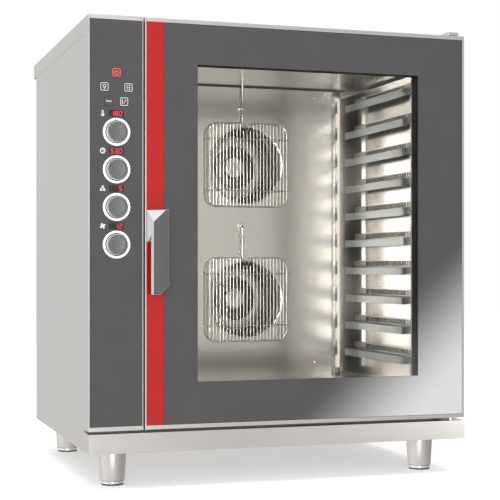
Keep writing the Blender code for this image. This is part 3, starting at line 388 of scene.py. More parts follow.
def shaded(tree, value, dark, light):
    """A colour between dark and light, picked by the value."""
    ramp = tree.nodes.new("ShaderNodeValToRGB")
    ramp.color_ramp.elements[0].position = 0.3
    ramp.color_ramp.elements[1].position = 0.7
    ramp.color_ramp.elements[0].color = (*dark, 1.0)
    ramp.color_ramp.elements[1].color = (*light, 1.0)
    tree.links.new(value, ramp.inputs["Fac"])
    return ramp.outputs["Color"]


def raised(tree, shader, value, height, strength=1.0):
    """A bump of the given height in metres."""
    bump = tree.nodes.new("ShaderNodeBump")
    bump.inputs["Strength"].default_value = strength
    bump.inputs["Distance"].default_value = height
    tree.links.new(value, bump.inputs["Height"])
    tree.links.new(bump.outputs["Normal"], shader.inputs["Normal"])


def tinted(colour, factor):
    """A colour made lighter or darker."""
    return tuple(min(1.0, channel * factor) for channel in colour)


# %% Brushed and rolled steel
BRUSH_LONG = 5.0
BRUSH_FINE = 900.0


def brushed_steel(name, colour, roughness, along, contrast=0.05, height=0.00002):
    """Stainless with its grain along one axis: streaks are long on it and fine across it."""
    material, tree, shader = new_finish(name, colour, roughness, 1.0)
    stretch = [BRUSH_FINE] * 3
    stretch["xyz".index(along)] = BRUSH_LONG
    streaks = grain(tree, stretch, 4.0)
    clouds = grain(tree, (5.0, 5.0, 5.0), 2.0)
    mixed = tree.nodes.new("ShaderNodeMix")
    mixed.inputs["Factor"].default_value = 0.35
    tree.links.new(streaks, mixed.inputs["A"])
    tree.links.new(clouds, mixed.inputs["B"])
    value = mixed.outputs["Result"]
    tree.links.new(ranged(tree, value, roughness - 0.05, roughness + 0.07),
                   shader.inputs["Roughness"])
    tree.links.new(shaded(tree, value, tinted(colour, 1 - contrast), tinted(colour, 1 + contrast)),
                   shader.inputs["Base Color"])
    raised(tree, shader, streaks, height, 0.25)
    return material


STEEL = (0.60, 0.585, 0.57)
CAVITY_STEEL = (0.73, 0.72, 0.70)
steel_upright = brushed_steel("steel brushed upright", STEEL, 0.34, "z")
steel_across = brushed_steel("steel brushed across", STEEL, 0.30, "x")
steel_deep = brushed_steel("steel brushed front to back", STEEL, 0.33, "y")
steel_cavity = brushed_steel("steel of the cavity", CAVITY_STEEL, 0.20, "z", 0.02, 0.000004)
steel_baffle = brushed_steel("steel of the fan wall", (0.73, 0.71, 0.68), 0.20, "x", 0.02,
                             0.000004)
steel_runner = brushed_steel("steel of the runners", (0.30, 0.325, 0.325), 0.30, "y", 0.03)
print("steels made")


# %% Plastics, rubber, glass and lights
def moulded(name, colour, roughness, size=1600.0, height=0.00001, **sockets):
    """Moulded plastic or rubber: an even colour with a fine pebbled skin."""
    material, tree, shader = new_finish(name, colour, roughness, 0.0, **sockets)
    pebbles = grain(tree, (size, size, size), 2.0)
    clouds = grain(tree, (14.0, 14.0, 14.0), 2.0)
    tree.links.new(ranged(tree, clouds, roughness * 0.9, min(1.0, roughness * 1.15)),
                   shader.inputs["Roughness"])
    tree.links.new(shaded(tree, clouds, tinted(colour, 0.95), tinted(colour, 1.05)),
                   shader.inputs["Base Color"])
    raised(tree, shader, pebbles, height, 0.3)
    return material


def metal(name, colour, roughness, size=300.0, height=0.00002):
    """Cast, plated or polished metal with a slightly uneven skin."""
    material, tree, shader = new_finish(name, colour, roughness, 1.0)
    skin = grain(tree, (size, size, size), 3.0)
    tree.links.new(ranged(tree, skin, roughness * 0.85, roughness * 1.2),
                   shader.inputs["Roughness"])
    tree.links.new(shaded(tree, skin, tinted(colour, 0.93), tinted(colour, 1.07)),
                   shader.inputs["Base Color"])
    raised(tree, shader, skin, height, 0.3)
    return material


def lit(name, colour, strength):
    """A lamp behind tinted plastic."""
    material, tree, shader = new_finish(name, tinted(colour, 0.3), 0.35)
    shader.inputs["Emission Color"].default_value = (*colour, 1.0)
    shader.inputs["Emission Strength"].default_value = strength
    glow = grain(tree, (400.0, 400.0, 400.0), 1.0)
    tree.links.new(ranged(tree, glow, 0.3, 0.4), shader.inputs["Roughness"])
    return material


PRINT_GREY = (0.042, 0.040, 0.041)
printed_glass = moulded("glass printed grey", PRINT_GREY, 0.045, 90.0, 0.0000003, IOR=1.62)
red_glass = moulded("glass printed red", (0.31, 0.003, 0.003), 0.10, 90.0, 0.0000003, IOR=1.5)
white_print = moulded("white print", (0.82, 0.82, 0.82), 0.35)
white_ring = moulded("white gloss plastic", (0.92, 0.92, 0.92), 0.16, IOR=1.5)
grey_cap = metal("satin grey cap", (0.19, 0.193, 0.205), 0.26, 900.0)
# A lighter finish for the knob's turned rim: a painted highlight for the light on its rounded edge.
knob_rim_highlight = moulded("knob rim painted highlight", (0.62, 0.62, 0.63), 0.20, IOR=1.5)
# A lighter finish for the lever's left side: a painted highlight.
lever_side_highlight = moulded("lever side painted highlight", (0.50, 0.50, 0.50), 0.30, IOR=1.5)
grey_print = moulded("grey print", (0.46, 0.46, 0.46), 0.35)
dark_plastic = moulded("dark plastic", (0.045, 0.045, 0.047), 0.45)
display_lens = moulded("smoked display lens", (0.022, 0.010, 0.012), 0.12, 200.0, 0.000001)
rubber = moulded("black rubber", (0.022, 0.022, 0.023), 0.62, 900.0, 0.00003)
seal_dark = moulded("dark inner border", (0.030, 0.028, 0.026), 0.35)
polished = metal("polished steel", (0.78, 0.77, 0.75), 0.10)
wire_steel = metal("wire steel", (0.64, 0.63, 0.60), 0.30)
ring_steel = metal("wheel ring steel", (0.50, 0.49, 0.46), 0.38)
cast_grey = metal("cast aluminium", (0.42, 0.42, 0.42), 0.48, 500.0, 0.00006)
zinc = metal("zinc plate", (0.52, 0.52, 0.50), 0.38, 220.0)
# A darkened sheath: painted shade of the fan compartment behind the guard.
heater_shade_steel = metal("heater sheath with painted shade", (0.26, 0.24, 0.22), 0.42, 260.0)
# Dark steel for the wheel's plate and blades: painted shade for the fan compartment behind the
# guard.
blade_shade_steel = metal("blade steel with painted shade", (0.20, 0.195, 0.185), 0.40)
hub_steel = metal("hub steel", (0.66, 0.65, 0.62), 0.42)
# Near-black steel for the comb blocks, which stand where the slotted strip looks dark from shade:
# painted shade.
comb_shade_steel = metal("comb steel with painted shade", (0.15, 0.14, 0.12), 0.42)
red_light = lit("red segments", (1.0, 0.035, 0.09), 0.85)
red_key = lit("red key light", (1.0, 0.10, 0.09), 0.80)
print("plastics and metals made")

# %% [markdown]
# ## Clear glass
# The door's window has to show the cavity and still catch a little shine. A bending glass would
# keep lamps out of the cavity, so the pane is a see-through surface mixed with a mirror, and the
# share of mirror grows towards flat angles, as on real glass.


# %% A see-through pane
def clear_finish(name, tint, mirror_ior):
    """Transparent and glossy shaders, mixed by the Fresnel share of the given index."""
    material = bpy.data.materials.new(name)
    material.use_nodes = True
    tree = material.node_tree
    tree.nodes.clear()
    output = tree.nodes.new("ShaderNodeOutputMaterial")
    mix = tree.nodes.new("ShaderNodeMixShader")
    through = tree.nodes.new("ShaderNodeBsdfTransparent")
    through.inputs["Color"].default_value = (*tint, 1.0)
    gloss = tree.nodes.new("ShaderNodeBsdfGlossy")
    gloss.inputs["Roughness"].default_value = 0.02
    share = tree.nodes.new("ShaderNodeFresnel")
    share.inputs["IOR"].default_value = mirror_ior
    smear = grain(tree, (7.0, 7.0, 7.0), 3.0)
    tree.links.new(ranged(tree, smear, 0.015, 0.05), gloss.inputs["Roughness"])
    tree.links.new(share.outputs["Fac"], mix.inputs["Fac"])
    tree.links.new(through.outputs["BSDF"], mix.inputs[1])
    tree.links.new(gloss.outputs["BSDF"], mix.inputs[2])
    tree.links.new(mix.outputs["Shader"], output.inputs["Surface"])
    return material


window_glass = clear_finish("window glass", (0.975, 0.972, 0.966), 1.16)
inner_glass = clear_finish("inner pane glass", (0.978, 0.975, 0.970), 1.16)
print("glass made")

# %% [markdown]
# ## The casing
# The lid overhangs the sides and the back, the side sheets hang under its flange, and the apron
# closes the front below the door. Upright sheets are brushed upright; the apron is brushed across.
# New boxes would do for plain sheets, but the CAD parts already hold the folds and the cut-outs,
# so each skin is a softened copy of its part.

# %% Casing sheets
softened("top_cover", steel_deep, 0.0006)
softened("left_side_panel", steel_upright)
softened("right_side_panel", steel_upright)
softened("back_panel", steel_upright)
softened("base_tray", steel_across, 0.0006)
softened("front_frame", steel_upright, 0.0003)
softened("hinge_upper", steel_across, 0.0006)
softened("hinge_lower", polished, 0.0003)
print("casing dressed")

# %% [markdown]
# ## The control column
# A steel tray holds a pane of glass that is printed grey on its back. Through it come the
# knobs, the keys and the displays, and white symbols say what each of them sets. Painted glass
# could be a clear slab over a grey one; a dark finish with a sharp mirror looks the same here.

# %% Column, glass and board
softened("control_fascia", steel_upright, 0.0004)
softened("control_glass", printed_glass, 0.0003)
BOARD = moulded("circuit board", (0.035, 0.16, 0.07), 0.45, 700.0, 0.00003)
softened("control_board", BOARD, 0.0002)
for node in ("display_temperature", "display_time", "display_steam", "display_fan"):
    softened(node, display_lens, 0.0002)
print("column dressed")

# %% [markdown]
# ## Knobs
# Each knob is a white collar round a low grey cap, and a dark skirt closes the gap between the
# two. The cap's turned edge takes a lighter finish than its face, a painted highlight for the
# light that the rounded edge catches. Profiles turned round the shaft give all three. The cap's
# face is dished a little, and its shaft runs back through the glass to the encoder. A cylinder with
# a bevel would give the edge but not the dish; a profile gives both and stays easy to change.

# %% Four knobs
OUT = (0.0, -1.0, 0.0)
KNOB_GAP = 0.0004
COLLAR_OUTER, COLLAR_INNER, COLLAR_REACH, COLLAR_ROUND = 0.0310, 0.0260, 0.0049, 0.0013
CAP_R, CAP_REACH, CAP_BACK, CAP_ROUND = 0.0236, 0.0098, 0.0012, 0.0031
CAP_FLAT, CAP_DISH = 0.0205, 0.0006
CAP_HIGHLIGHT_NORMAL = -0.80
SHAFT_R, SHAFT_IN = 0.003, 0.0155
SKIRT_R, SKIRT_HOLE, SKIRT_REACH = COLLAR_INNER + 0.0006, SHAFT_R + 0.0002, 0.0010
NAMES = ("temperature", "time", "steam", "fan")
collar_profile = eased([(COLLAR_OUTER, KNOB_GAP), (COLLAR_OUTER, COLLAR_REACH),
                        (COLLAR_INNER, COLLAR_REACH), (COLLAR_INNER, KNOB_GAP + 0.0002),
                        (COLLAR_OUTER, KNOB_GAP)], COLLAR_ROUND)
cap_profile = [(0.0, CAP_REACH - CAP_DISH)]
cap_profile += [(r, CAP_REACH - CAP_DISH + CAP_DISH * (r / CAP_FLAT) ** 2)
                for r in np.linspace(0.004, CAP_FLAT, 5)]
cap_profile += fillet((CAP_R, CAP_REACH), (CAP_FLAT, CAP_REACH), (CAP_R, 0.0), CAP_ROUND, 7)
cap_profile += [(CAP_R, CAP_BACK), (SHAFT_R, CAP_BACK), (SHAFT_R, -SHAFT_IN), (0.0, -SHAFT_IN)]
skirt_profile = [(SKIRT_R, KNOB_GAP), (SKIRT_R, SKIRT_REACH), (SKIRT_HOLE, SKIRT_REACH),
                 (SKIRT_HOLE, KNOB_GAP), (SKIRT_R, KNOB_GAP)]
for name in NAMES:
    centre = AXIS_AT[f"knob_{name}_turn"]
    body = f"knob_{name}"
    finish_piece(f"knob_collar_{name}", *turned(collar_profile, centre, OUT, 96),
                 white_ring, body, "plastic_grey")
    finish_piece(f"knob_skirt_{name}", *turned(skirt_profile, centre, OUT, 64),
                 dark_plastic, body, "plastic_grey")
    cap = finish_piece(f"knob_cap_{name}", *turned(cap_profile, centre, OUT, 96),
                       grey_cap, body, "plastic_grey")
    # The rim's faces take the lighter finish, a painted highlight on the rounded edge.
    cap.data.materials.append(knob_rim_highlight)
    for polygon in cap.data.polygons:
        if polygon.normal.y > CAP_HIGHLIGHT_NORMAL and polygon.center.y > FRONT - CAP_REACH:
            polygon.material_index = 1
    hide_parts(f"knob_{name}")
print("knobs", len(NAMES))

# %% [markdown]
# ## Printed symbols
# The symbols are ink on glass: flat shapes a tenth of a millimetre thick. Each one is built from
# outlines, circles and lines, measured from its own middle, and stands beside the display that
# it explains.

# %% Symbols beside the displays
INK_OFF, INK_THICK = 0.00002, 0.0001
SYMBOL_ASIDE = 0.031
LINE = 0.0013


def ink_on(face):
    """The two y values of a layer of ink that stands just off a face."""
    return face - INK_OFF - INK_THICK, face - INK_OFF


INK = ink_on(FRONT)


def thermometer(x, z):
    """A bulb ring under a narrow stem."""
    bulb = band(circle_outline(x, z - 0.0033, 0.0026, 28), LINE * 1.25, *INK)
    stem = band(rounded_outline(x - 0.0012, x + 0.0012, z - 0.0008, z + 0.0062, 0.0010, 5),
                LINE * 0.75, *INK)
    return [bulb, stem]


def clock(x, z):
    """A ring with two hands."""
    hands = np.array([(x, z + 0.0036), (x, z), (x + 0.0022, z - 0.0020)])
    return [band(circle_outline(x, z, 0.0053, 40), LINE * 1.2, *INK),
            band(hands, LINE, *INK, closed=False)]


def drop_outline(x, z, size):
    """A drop: a circle whose top is drawn out to a point by the angle's own height."""
    angle = np.linspace(0, math.tau, 26, endpoint=False)
    pull = np.clip(np.sin(angle), 0, 1) ** 3
    return np.column_stack([x + size * np.cos(angle) * (1 - 0.55 * pull),
                            z + size * (np.sin(angle) + 0.8 * pull)])


def three_drops(x, z):
    """Two drops below and one above, drawn as rings."""
    places = ((x, z + 0.0026), (x - 0.0034, z - 0.0032), (x + 0.0034, z - 0.0032))
    return [band(drop_outline(px, pz, 0.0020), LINE * 0.95, *INK) for px, pz in places]


def propeller(x, z):
    """Four blades, each a half disc turned a quarter further, round a small hub."""
    parts = []
    for n in range(4):
        turn = math.pi / 2 * n + 0.35
        middle_x = x + 0.0034 * math.cos(turn)
        middle_z = z + 0.0034 * math.sin(turn)
        arc = circle_outline(middle_x, middle_z, 0.0030, 14, turn - 0.4, turn + math.pi - 0.4)
        parts.append(stamped(arc, *INK))
    parts.append(stamped(circle_outline(x, z, 0.0014, 16), INK[0] - 2 * INK_OFF, INK[1]))
    return parts


SYMBOLS = {"temperature": thermometer, "time": clock, "steam": three_drops, "fan": propeller}
for name, draw in SYMBOLS.items():
    x, z = middle_of("display_" + name)
    finish_piece(f"symbol_{name}", *joined(draw(x - SYMBOL_ASIDE, z)), white_print, "oven",
                 "glass_printed_grey")
print("symbols", list(SYMBOLS))

# %% [markdown]
# ## Seven-segment digits
# A digit is seven bars with pointed ends. Which bars are lit is a short word per digit, and a
# slight lean makes them look like a real display. Text in a font would show its own serifs and
# curves, so the bars are drawn one by one.

# %% Digits behind the lenses
SEGMENTS = {"0": "abcdef", "1": "bc", "2": "abged", "3": "abgcd", "5": "afgcd", "8": "abcdefg"}
DIGIT_W, DIGIT_H, BAR = 0.0060, 0.0096, 0.0016
DIGIT_BACK, DIGIT_FACE = 0.00025, 0.00005
DIGIT_PITCH = 0.0094
LEAN = 0.10


def bar_outline(start, end):
    """A bar between two points with pointed ends."""
    start, end = np.array(start), np.array(end)
    along = (end - start) / np.linalg.norm(end - start)
    aside = np.array([-along[1], along[0]]) * BAR / 2
    near, far = start + along * BAR * 0.6, end - along * BAR * 0.6
    tip = along * BAR * 0.5
    return np.array([near - tip, near + aside, far + aside, far + tip, far - aside, near - aside])


def digit(character, x, z):
    """The lit bars of one digit around its middle, leaning to the right with height."""
    w, h = DIGIT_W / 2, DIGIT_H / 2
    ends = {"a": ((-w, h), (w, h)), "b": ((w, h), (w, 0)), "c": ((w, 0), (w, -h)),
            "d": ((-w, -h), (w, -h)), "e": ((-w, 0), (-w, -h)), "f": ((-w, h), (-w, 0)),
            "g": ((-w, 0), (w, 0))}
    parts = []
    for segment in SEGMENTS[character]:
        outline = bar_outline(*ends[segment])
        outline[:, 0] += outline[:, 1] * LEAN
        parts.append(stamped(outline + (x, z), FRONT + DIGIT_BACK, FRONT + DIGIT_FACE))
    return parts


READINGS = {"temperature": "180", "time": "530", "steam": "  5", "fan": " 12"}
for name, reading in READINGS.items():
    x, z = middle_of("display_" + name)
    parts = []
    for place, character in enumerate(reading):
        if character != " ":
            parts += digit(character, x + (place - 1) * DIGIT_PITCH, z)
    finish_piece(f"digits_{name}", *joined(parts), red_light, "oven", "display_black")
print("digits", READINGS)

# %% [markdown]
# ## Keys
# The five keys are squares that stand a little out of the glass. Four are framed by a pale
# line, and the power key's line and symbol glow red. Every print is on its key and moves in
# with it.

# %% Key caps
KEY_HALF, KEY_PROUD = 0.0098, 0.0012
KEY_LINE_IN, KEY_LINE, KEY_CORNER = 0.0013, 0.0015, 0.0026


def key_symbol(name, x, z, ink):
    """The lines of one key's symbol."""
    if name == "key_power":
        return [band(circle_outline(x, z - 0.0004, 0.0044, 24, math.pi * 0.70, math.pi * 2.30),
                     0.0016, *ink, closed=False),
                band([(x, z + 0.0056), (x, z + 0.0002)], 0.0016, *ink, closed=False)]
    if name == "key_lamp":
        return [band(circle_outline(x, z + 0.0016, 0.0032, 28), 0.0014, *ink),
                stamped([(x - 0.0022, z - 0.0018), (x + 0.0022, z - 0.0018),
                         (x + 0.0008, z - 0.0062), (x - 0.0008, z - 0.0062)], *ink)]
    if name == "key_programme":
        rows = [band([(x - 0.0042, z + dz), (x + 0.0042, z + dz)], 0.0012, *ink, closed=False)
                for dz in (-0.0046, 0.0, 0.0046)]
        sides = [band([(x + dx, z - 0.0050), (x + dx, z + 0.0050)], 0.0010, *ink, closed=False)
                 for dx in (-0.0032, 0.0032)]
        return rows + sides
    if name == "key_vent":
        return [band([(x - 0.0042, z - 0.0054), (x - 0.0042, z + 0.0054)], 0.0018, *ink,
                     closed=False),
                band([(x - 0.0012, z - 0.0050), (x + 0.0012, z - 0.0008), (x + 0.0044, z + 0.0046)],
                     0.0011, *ink, closed=False),
                band([(x + 0.0012, z + 0.0046), (x + 0.0044, z + 0.0046), (x + 0.0044, z + 0.0012)],
                     0.0011, *ink, closed=False)]
    puffs = []
    for dz in (-0.0011, 0.0011):
        t = np.linspace(-1, 1, 18)
        puffs.append(band(np.column_stack([x + 0.0062 * t, z + dz + 0.0007 * np.sin(7 * t)]),
                          0.0011, *ink, closed=False))
    return puffs


for name in ("key_power", "key_lamp", "key_programme", "key_steam_shot", "key_vent"):
    softened(name, printed_glass, 0.0002)
    x, z = middle_of(name)
    ink = ink_on(FRONT - KEY_PROUD)
    parts = key_symbol(name, x, z, ink)
    if name != "key_steam_shot":
        half = KEY_HALF - KEY_LINE_IN
        parts.append(band(rounded_outline(x - half, x + half, z - half, z + half, KEY_CORNER),
                          KEY_LINE, *ink))
    finish_piece(name + "_print", *joined(parts), red_key if name == "key_power" else grey_print,
                 name, "plastic_grey")
print("keys dressed")

# %% [markdown]
# ## The door
# The door is a steel shell with a red strip and one large pane. The pane is printed grey round
# its edge and left clear in the middle, so it is one slab of cells where only the middle cell
# of each face takes the clear finish.

# %% Door shell, strip, seal and pane
softened("door_frame", steel_upright, 0.0005)
softened("door_stripe", red_glass, 0.0004)
softened("door_inner_glass", inner_glass, 0.0004)
softened("door_window_seal", seal_dark, 0.0006)
softened("door_gasket", rubber, 0.0015)
softened("latch_keeper", zinc, 0.0004)
PRINT_LEFT, PRINT_RIGHT, PRINT_LOW, PRINT_HIGH = 0.0787, 0.1182, 0.0957, 0.0917
ARRIS = 0.0006


def slab_with_window(low, high, margins, arris):
    """A pane as four rings of a 4 x 4 table of points: the back, the sides and the front, whose
    outer edge is drawn in by the arris. The middle cell of each face is the window."""
    left, right, bottom, top = margins
    rings = []
    for y, inset in ((low[1], arris), (low[1] + arris, 0.0), (high[1] - arris, 0.0),
                     (high[1], arris)):
        xs = np.array([low[0] + inset, low[0] + left, high[0] - right, high[0] - inset])
        zs = np.array([low[2] + inset, low[2] + bottom, high[2] - top, high[2] - inset])
        grid_x, grid_z = np.meshgrid(xs, zs)
        rings.append(np.column_stack([grid_x.ravel(), np.full(16, y), grid_z.ravel()]))
    points = np.vstack(rings)
    edge = [0, 1, 2, 3, 7, 11, 15, 14, 13, 12, 8, 4]
    faces = []
    for start in (0, 48):
        for row in range(3):
            for column in range(3):
                a = start + row * 4 + column
                faces.append((a, a + 1, a + 5, a + 4))
    for lower in (0, 16, 32):
        for a, b in zip(edge, edge[1:] + edge[:1]):
            faces.append((a + lower, b + lower, b + lower + 16, a + lower + 16))
    return points, faces


points, faces = slab_with_window(PANE_LOW, PANE_HIGH,
                                 (PRINT_LEFT, PRINT_RIGHT, PRINT_LOW, PRINT_HIGH), ARRIS)
pane = finish_piece("door_pane", points, faces, printed_glass, "door", "glass_printed_grey", 20.0)
pane.data.materials.append(window_glass)
pane_middle = ((PANE_LOW[0] + PRINT_LEFT + PANE_HIGH[0] - PRINT_RIGHT) / 2,
               (PANE_LOW[2] + PRINT_LOW + PANE_HIGH[2] - PRINT_HIGH) / 2)
for polygon in pane.data.polygons:
    middle = polygon.center
    if abs(middle[0] - pane_middle[0]) < 1e-3 and abs(middle[2] - pane_middle[1]) < 1e-3:
        polygon.material_index = 1
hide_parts("door_outer_glass")
print("pane faces", len(faces), "window faces",
      sum(polygon.material_index for polygon in pane.data.polygons))

# %% [markdown]
# ## The lever
# The lever leans out from the strip and has two corners cut off, so it reads as folded plate.
# Its edges are rounded more than the sheets are, because a hand pulls on them. The broad front
# is lacquered grey, and the faces turned to the left take a lighter finish, a painted highlight;
# the rest is bare steel.

# %% Lever
LEVER_FACE_FROM, LEVER_HIGHLIGHT_FROM = 0.020, 0.012
lever_grey = metal("grey lacquer", (0.135, 0.137, 0.142), 0.34, 900.0, 0.000005)
lever = softened("door_handle", steel_across, 0.0008)
lever.data.materials.append(lever_grey)
lever.data.materials.append(lever_side_highlight)
for polygon in lever.data.polygons:
    if polygon.normal.y < -0.97 and polygon.center.y < FRONT - LEVER_FACE_FROM:
        polygon.material_index = 1
    # Faces turned to the left take the lighter finish: a painted highlight.
    elif polygon.normal.x < -0.35 and polygon.center.y < FRONT - LEVER_HIGHLIGHT_FROM:
        polygon.material_index = 2
print("lever faces with a finish of their own",
      sum(polygon.material_index > 0 for polygon in lever.data.polygons))

# %% [markdown]
# ## The cavity
# The chamber and the fan wall are bright rolled steel. It mirrors softly, and that is what makes
# the inside look deep: the window shows again on the fan wall, and the runners show beside it.
# So the steel needs no drawn shading, only a low roughness and a very weak grain.

# %% Cavity walls, lamp and drain
softened("cavity_liner", steel_cavity, 0.0006)
softened("fan_baffle", steel_baffle, 0.0003, 40.0)
lamp_glass = moulded("lamp glass", (0.75, 0.76, 0.72), 0.25, 300.0, 0.00001)
softened("cavity_lamp", lamp_glass, 0.0005)
softened("drain_strainer", polished, 0.0003)
softened("drain_pipe", wire_steel, 0.0004)
softened("exhaust_vent", wire_steel, 0.0003)
softened("cable_gland", dark_plastic, 0.0005)
softened("water_inlet", metal("brass fitting", (0.62, 0.52, 0.30), 0.32), 0.0005)
for level in ("upper", "lower"):
    softened("fan_motor_" + level, cast_grey, 0.0008)
print("cavity dressed")

# %% [markdown]
# ## Fan guards
# A guard is welded wire: a closed rim with round corners, upright wires, and two cross wires
# whose ends bend back to the wall. The rim dips in a small V beside the water pipe, and the
# wires there end lower. Curves with a round bevel could be wires too; tubes worked out as points
# keep the same number of sides everywhere and leave as plain meshes.

# %% Guards
RIM_WIRE, BAR_WIRE = 0.0017, 0.0012
GUARD_W, GUARD_H, GUARD_CORNER = 0.228, 0.2245, 0.030
GUARD_BARS = 24
GUARD_PLANE = 0.0026
CROSS_RISE, CROSS_PAST, CROSS_BEHIND, CROSS_BEND = 0.31, 0.008, 0.002, 0.0035
NOTCH_HALF, NOTCH_DEEP = 0.012, 0.026
OFF_WALL = 0.0004


def guard_rim(x, z, pipe_x):
    """The rim's (x, z) path: a rounded rectangle whose top edge dips at the pipe."""
    outline = rounded_outline(x - GUARD_W / 2, x + GUARD_W / 2, z - GUARD_H / 2,
                              z + GUARD_H / 2, GUARD_CORNER, 8)
    top = z + GUARD_H / 2
    dip = np.array([(pipe_x + NOTCH_HALF * 2, top), (pipe_x + NOTCH_HALF, top - NOTCH_DEEP),
                    (pipe_x + 0.003, top - NOTCH_DEEP * 0.15), (pipe_x, top)])
    return np.vstack([outline[:8], dip, outline[8:]])


for level in ("upper", "lower"):
    pipe_x = middle_of("water_pipe_" + level)[0]
    x, z = middle_of("fan_guard_" + level)
    y = float(corners("fan_guard_" + level)[0][1]) + GUARD_PLANE
    rim = guard_rim(x, z, pipe_x)
    parts = [tube(np.insert(rim, 1, y, axis=1), RIM_WIRE, 10, closed=True)]
    half_w, half_h = GUARD_W / 2, GUARD_H / 2
    for n in range(1, GUARD_BARS):
        px = x - half_w + n * GUARD_W / GUARD_BARS
        inset = max(0.0, abs(px - x) - (half_w - GUARD_CORNER))
        drop = GUARD_CORNER - math.sqrt(GUARD_CORNER ** 2 - inset ** 2)
        reach = half_h - drop
        top = z + reach
        if pipe_x < px < pipe_x + 2 * NOTCH_HALF:
            top -= NOTCH_DEEP * 0.8
        parts.append(tube([(px, y, z - reach), (px, y, z), (px, y, top)], BAR_WIRE, 8))
    for side in (-1, 1):
        cross_z = z + side * CROSS_RISE * GUARD_H
        ends = half_w + CROSS_PAST
        wall_y, wire_y = BAFFLE_FACE - OFF_WALL, y - CROSS_BEHIND
        path = bent([(x - ends, wall_y, cross_z), (x - ends, wire_y, cross_z),
                     (x + ends, wire_y, cross_z), (x + ends, wall_y, cross_z)], CROSS_BEND)
        parts.append(tube(path, BAR_WIRE, 8))
    guard = finish_piece("fan_guard_wires_" + level, *joined(parts), wire_steel, "oven",
                         "stainless_bright")
    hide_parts("fan_guard_" + level)
print("guards", 2, "with", GUARD_BARS - 1, "upright wires each")

# %% [markdown]
# ## Intake rims
# The hole in the fan wall is not cut square: its edge is drawn back into a smooth lip that leads
# the air in. A lip is a quarter of a turned circle, and it catches a bright crescent of light.

# %% Intake lips
INTAKE_R, LIP_R, LIP_SHEET = 0.107, 0.007, 0.0012
lip_front = [(INTAKE_R - OFF_WALL - LIP_R * math.sin(a), -LIP_R * (1 - math.cos(a)))
             for a in np.linspace(0, math.pi / 2, 7)]
lip_back = [(r + (LIP_SHEET if n else 0.0), h - LIP_SHEET) for n, (r, h) in enumerate(lip_front)]
lip_profile = lip_front + lip_back[::-1] + [lip_front[0]]
for level in ("upper", "lower"):
    centre = AXIS_AT[f"fan_{level}_spin"]
    middle = (centre[0], BAFFLE_FACE, centre[2])
    finish_piece("intake_lip_" + level, *turned(lip_profile, middle, OUT, 88), polished, "oven",
                 "stainless_bright")
print("intake lips", 2)

# %% [markdown]
# ## Fan wheels
# The wheel is a back plate with a domed hub, leaning blades, and a flat ring in front that
# draws the air in. A blade is a curved strip: its chord swings outwards as it goes from the
# ring's inner edge to its outer edge.

# %% Wheels
WHEEL_R, WHEEL_IN, WHEEL_D = 0.086, 0.056, 0.038
HUB_R, HUB_D, HUB_ROUND = 0.0285, 0.0340, 0.004
PLATE_STEP_R, PLATE_FACE = 0.036, 0.0345
MOTOR_SHAFT_R, MOTOR_SHAFT_LONG = 0.006, 0.030
BLADES, BLADE_SWING, BLADE_HALF = 16, 0.42, 0.0007


def blade(angle, front, back, centre):
    """A strip from r = inner to outer edge whose angle grows with the square of the way out,
    given thickness across and depth along y."""
    t = np.linspace(0, 1, 6)
    radius = WHEEL_IN + 0.003 + t * (WHEEL_R - WHEEL_IN - 0.004)
    turn = angle + BLADE_SWING * t * t
    half = BLADE_HALF / radius
    loop_r = np.concatenate([radius, radius[::-1]])
    loop_a = np.concatenate([turn - half, (turn + half)[::-1]])
    outline = np.column_stack([centre[0] + loop_r * np.cos(loop_a),
                               centre[2] + loop_r * np.sin(loop_a)])
    return stamped(outline, back, front)


hub_profile = [(0.0, 0.0005), (0.004, 0.0005), (0.0048, -0.0008), (0.010, -0.0004)]
hub_profile += fillet((HUB_R, 0.0), (0.010, 0.0), (HUB_R, -0.010), HUB_ROUND, 6)
hub_profile += [(HUB_R, -HUB_D), (MOTOR_SHAFT_R, -HUB_D), (0.0, -HUB_D)]
plate_profile = [(0.0, -PLATE_FACE), (HUB_R, -PLATE_FACE), (PLATE_STEP_R, -PLATE_FACE - 0.0015),
                 (WHEEL_R, -PLATE_FACE - 0.0017), (WHEEL_R, -WHEEL_D), (MOTOR_SHAFT_R, -WHEEL_D),
                 (MOTOR_SHAFT_R, -WHEEL_D - MOTOR_SHAFT_LONG), (0.0, -WHEEL_D - MOTOR_SHAFT_LONG)]
ring_profile = eased([(WHEEL_IN, -0.0060), (WHEEL_IN + 0.004, 0.0), (WHEEL_R, 0.0),
                      (WHEEL_R, -0.0016), (WHEEL_IN + 0.005, -0.0016),
                      (WHEEL_IN + 0.0012, -0.0062)], 0.0006, 3)
ring_profile.append(ring_profile[0])
BOLT = [(0.0, 0.0030), (0.0050, 0.0030), (0.0056, 0.0022), (0.0056, 0.0004), (0.0, 0.0004)]
for level in ("upper", "lower"):
    centre = AXIS_AT[f"fan_{level}_spin"]
    body = "fan_wheel_" + level
    front = float(corners(body)[0][1])
    middle = (centre[0], front, centre[2])
    finish_piece("wheel_hub_" + level, *turned(hub_profile, middle, OUT, 72), hub_steel, body,
                 "stainless_bright")
    # The plate and blades are darkened: painted shade of the compartment behind the guard.
    wheel = finish_piece("wheel_plate_" + level, *turned(plate_profile, middle, OUT, 72),
                         blade_shade_steel, body, "stainless_bright")
    finish_piece("wheel_ring_" + level, *turned(ring_profile, middle, OUT, 72), ring_steel, body,
                 "stainless_bright")
    parts = [blade(math.tau * n / BLADES, front + 0.0012, front + WHEEL_D - 0.0025, centre)
             for n in range(BLADES)]
    finish_piece("wheel_blades_" + level, *joined(parts), blade_shade_steel, body, "stainless_bright")
    finish_piece("wheel_bolt_" + level, *turned(BOLT, middle, OUT, 6), zinc, body, "zinc_plate",
                 20.0)
    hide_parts(body)
print("wheels", 2, "blades", BLADES)

# %% [markdown]
# ## Heaters
# Round each wheel runs a heating rod, bent into a spiral of two turns with two straight legs out
# through the back. Rings laid side by side would have no ends; a spiral is one circle whose
# depth grows with the angle, so the two legs come out of it by themselves.

